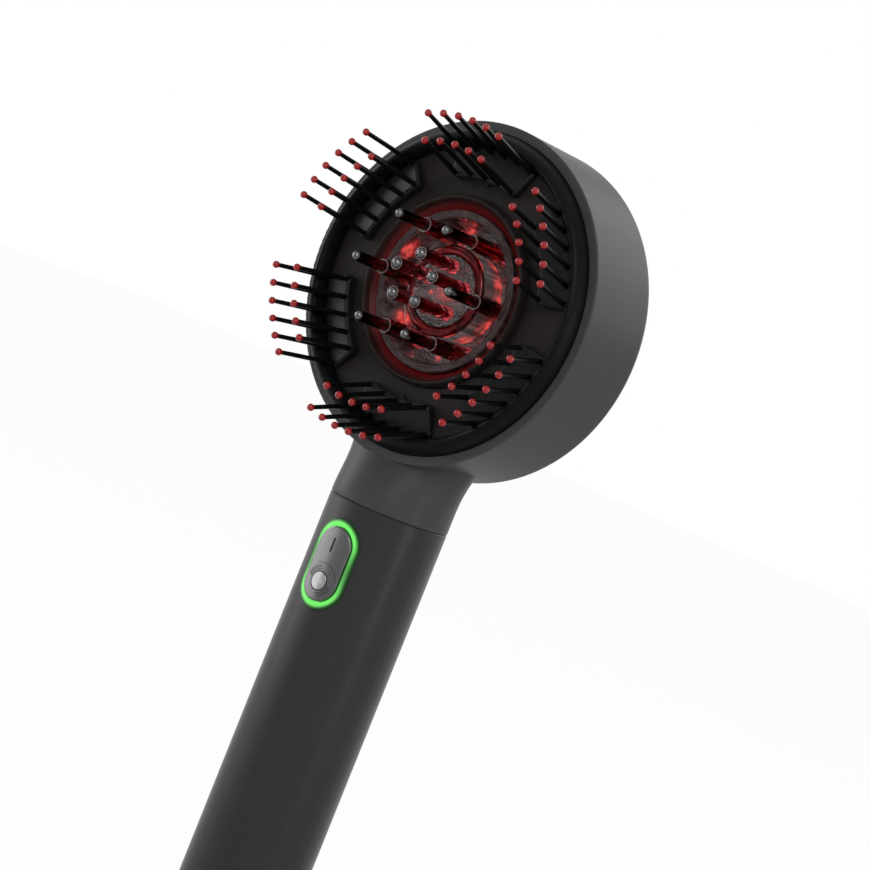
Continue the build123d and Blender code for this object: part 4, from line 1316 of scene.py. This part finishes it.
    def needles(self) -> None:
        """Stepped outer tubes, plain inner ones, and pale glowing rings on their steps and mouths that paint
        highlights there.
        """
        stepped = self.tube(self.outer_tube, self.outer_seat)
        plain = self.tube(self.inner_tube, self.inner_seat)
        outer = spinning(self.outer_count, radius=self.outer_circle)
        inner = spinning(self.inner_count, 90.0, self.inner_circle)
        tubes = Form().add(stepped, outer).add(plain, inner).moved(HEAD)
        tubes.finish("needles", self.body, Finishes.NEEDLE, 35.0, ["needle_tubes"])
        # Painted highlights: pale glowing rings on the steps and round the mouths.
        step_edge = Form().ring(*self.step_edge, self.tube_steps)
        mouth_edge = Form().ring(*self.mouth_edge, self.tube_steps)
        edges = Form().add(step_edge, outer).add(mouth_edge, inner).moved(HEAD)
        edges.finish("needle_edge_highlights", self.body, Finishes.HIGHLIGHT_RIM, 60.0)
        for form in (stepped, plain, step_edge, mouth_edge):
            form.mesh.free()


# ---------------------------------------------------------------- marks on the key
@dataclass
class KeyMarks:
    """A bar near the key's upper end and a ringed disc near its lower end; the bar and the ring lines are
    near-black raised strips that paint the shade of engraved grooves.

    Attributes:
        bar_height: Height of the bar's middle above the key's middle.
        bar_length: Length of the bar.
        bar_width: Width of the bar.
        disc_height: Height of the disc's middle above the key's middle.
        disc_radius: Radius of the disc.
        arcs: Radius, width, first angle and sweep of each arc round the disc.
        lift: How far the marks stand out of the key.
    """

    bar_height: float = 4.62
    bar_length: float = 3.6
    bar_width: float = 0.46
    disc_height: float = -4.34
    disc_radius: float = 2.1
    arcs: tuple[tuple[float, float, float, float], ...] = (
        (2.3, 0.2, 0.0, 360.0), (2.85, 0.13, 95.0, 80.0), (2.85, 0.13, 275.0, 80.0),
        (3.3, 0.12, 98.0, 74.0), (3.3, 0.12, 278.0, 74.0), (3.75, 0.11, 102.0, 66.0),
        (3.75, 0.11, 282.0, 66.0), (4.45, 0.09, 15.0, 105.0),
    )
    lift: float = 0.035

    def build(self) -> None:
        """Make the bar, the disc and the arcs, wrapped on the key's front."""
        body = ride_on("rocker_key")
        # Painted shade: the bar and the ring lines are near-black, for the shade in engraved grooves.
        self.bar().wrapped(KEY_FRONT, KEY_HEIGHT + self.bar_height).finish("key_bar", body, Finishes.KEY_GROOVE_SHADE)
        height = KEY_HEIGHT + self.disc_height
        rim = [(self.disc_radius - 0.05, self.lift), (self.disc_radius, 0.0)]
        disc = Form().lathe([(0.0, self.lift), *rim, (0.0, 0.0)], 48, closed=False)
        disc.wrapped(KEY_FRONT, height).finish("key_disc_face", body, Finishes.KEY_DISC)
        lines = Form()
        for radius, width, first, sweep in self.arcs:
            near, far = radius - width / 2, radius + width / 2
            outline = [(near, 0.0), (far, 0.0), (far, self.lift), (near, self.lift)]
            arc = Form().lathe(outline, max(12, round(sweep / 6)), sweep=sweep)
            lines.add(arc, [Matrix.Rotation(math.radians(first), 4, "Z")])
            arc.mesh.free()
        lines.wrapped(KEY_FRONT, height).finish("key_lines", body, Finishes.KEY_GROOVE_SHADE)

    def bar(self) -> Form:
        """Bar with rounded ends, flat on its back.

        Returns:
            The form, still flat.
        """
        form = Form()
        bmesh.ops.create_circle(form.mesh, cap_ends=True, radius=self.bar_width / 2, segments=24)
        stretch = (self.bar_length - self.bar_width) / 2
        for vert in form.mesh.verts:
            vert.co.y += math.copysign(stretch, vert.co.y) if abs(vert.co.y) > 1e-6 else 0.0
        grown = bmesh.ops.extrude_face_region(form.mesh, geom=form.mesh.faces[:])
        risen = [item for item in grown["geom"] if isinstance(item, bmesh.types.BMVert)]
        bmesh.ops.translate(form.mesh, vec=(0, 0, self.lift), verts=risen)
        bmesh.ops.recalc_face_normals(form.mesh, faces=form.mesh.faces[:])
        return form


# ---------------------------------------------------------------- studio
@dataclass(frozen=True)
class SoftBox:
    """A flat rectangular light.

    Attributes:
        name: The light's name.
        place: Its middle.
        size: Its width and height.
        watts: Its power.
        target: The point that it faces.
    """

    name: str
    place: Point3
    size: Point2
    watts: float
    target: Point3 = (0.0, 0.0, 130.0)

    def build(self) -> None:
        """Add the light."""
        data = bpy.data.lights.new(self.name, "AREA")
        data.shape = "RECTANGLE"
        data.size, data.size_y = (side * MM for side in self.size)
        data.energy = self.watts
        light = bpy.data.objects.new(self.name, data)
        light.location = Vector(self.place) * MM
        facing = Vector(self.target) - Vector(self.place)
        light.rotation_euler = facing.to_track_quat("-Z", "Y").to_euler()
        bpy.context.scene.collection.objects.link(light)


@dataclass
class Studio:
    """Floor, soft lights, white surroundings and the camera.

    Attributes:
        eye: The camera's place.
        right: Its direction to the right of the picture.
        up: Its direction up the picture.
        focal_px: Its focal length in pixels.
        frame_px: The picture's width in pixels.
        sensor: The sensor's width.
        floor_size: Half the floor's side, in metres.
        floor_drop: How far the floor lies under the handle's end, in metres.
        floor_gray: The floor's own brightness.
        floor_white: How white the floor shows to the eye.
        ambient: Strength of the surroundings' light on the object.
        boxes: The soft lights.
    """

    eye: Point3 = (379.13, -494.89, 156.93)
    right: Point3 = (0.7305, 0.5725, 0.3723)
    up: Point3 = (-0.3196, -0.1952, 0.9272)
    focal_px: float = 2640.6
    frame_px: float = 870.0
    sensor: float = 36.0
    floor_size: float = 3.0
    floor_drop: float = 0.0002
    floor_gray: float = 0.82
    floor_white: float = 0.97
    ambient: float = 0.05
    boxes: tuple[SoftBox, ...] = (
        SoftBox("right_box", (949, 100, 430), (500, 500), 0.6),
        SoftBox("right_strip", (990, -80, 160), (60, 600), 2.3),
        SoftBox("left_box", (-947, -249, 329), (500, 500), 4.2),
        SoftBox("left_low_box", (-331, -239, 56), (290, 100), 0.26, target=(0.0, -10.0, 85.0)),
        SoftBox("rear_box", (40, 799, 729), (500, 500), 1.9),
        SoftBox("rear_right_box", (422, 803, 552), (500, 500), 2.0),
        SoftBox("front_box", (485, -728, 615), (500, 500), 4.5),
    )

    def build(self) -> None:
        """Make the whole studio."""
        bpy.context.scene.view_settings.view_transform = "Standard"
        self.camera()
        self.floor()
        self.world()
        for box in self.boxes:
            box.build()

    def camera(self) -> None:
        """Camera with its picture's middle on the optical axis."""
        data = bpy.data.cameras.new("camera")
        data.sensor_fit = "HORIZONTAL"
        data.sensor_width = self.sensor
        data.lens = self.sensor * self.focal_px / self.frame_px
        data.clip_start = 0.01
        camera = bpy.data.objects.new("camera", data)
        right = Vector(self.right).normalized()
        up = Vector(self.up)
        back = right.cross(up).normalized()
        up = back.cross(right)
        turn = Matrix((right, up, back)).transposed().to_4x4()
        camera.matrix_world = Matrix.Translation(Vector(self.eye) * MM) @ turn
        bpy.context.scene.collection.objects.link(camera)
        bpy.context.scene.camera = camera

    def floor(self) -> None:
        """Pale floor that shows white to the camera but still takes a shadow."""
        mesh = bmesh.new()
        bmesh.ops.create_grid(mesh, x_segments=1, y_segments=1, size=self.floor_size)
        data = bpy.data.meshes.new("floor")
        mesh.to_mesh(data)
        mesh.free()
        floor = bpy.data.objects.new("floor", data)
        floor.location = (0, 0, -self.floor_drop)
        bpy.context.scene.collection.objects.link(floor)
        graph = Graph("pale_floor")
        graph.dress(Base_Color=(self.floor_gray,) * 3, Roughness=0.9, Specular_IOR_Level=0.1)
        share = graph.eye_rays() * self.floor_white
        matt = Value(graph, graph.shader.outputs["BSDF"])
        white = graph.node("ShaderNodeEmission", None, {"Color": WHITE, "Strength": 1.0})["Emission"]
        mixed = graph.node("ShaderNodeMixShader", None, {0: share, 1: matt, 2: white})["Shader"]
        graph.set(graph.output.inputs["Surface"], mixed)
        data.materials.append(graph.material)

    def world(self) -> None:
        """Plain white to the eye, dim to the object."""
        world = bpy.data.worlds.new("studio")
        bpy.context.scene.world = world
        world.use_nodes = True
        tree = Tree(world.node_tree)
        strength = tree.eye_rays() * (1.0 - self.ambient) + self.ambient
        background = tree.node("ShaderNodeBackground", None, {"Color": WHITE, "Strength": strength})
        tree.node("ShaderNodeOutputWorld", None, {"Surface": background["Background"]})


def main() -> None:
    """Build the scene in order."""
    logging.basicConfig(level=logging.INFO, format="%(message)s")
    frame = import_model()
    dress_nodes(frame["nodes"])
    Bezel().build()
    Applicator().build()
    KeyMarks().build()
    Studio().build()


if __name__ == "__main__":
    main()
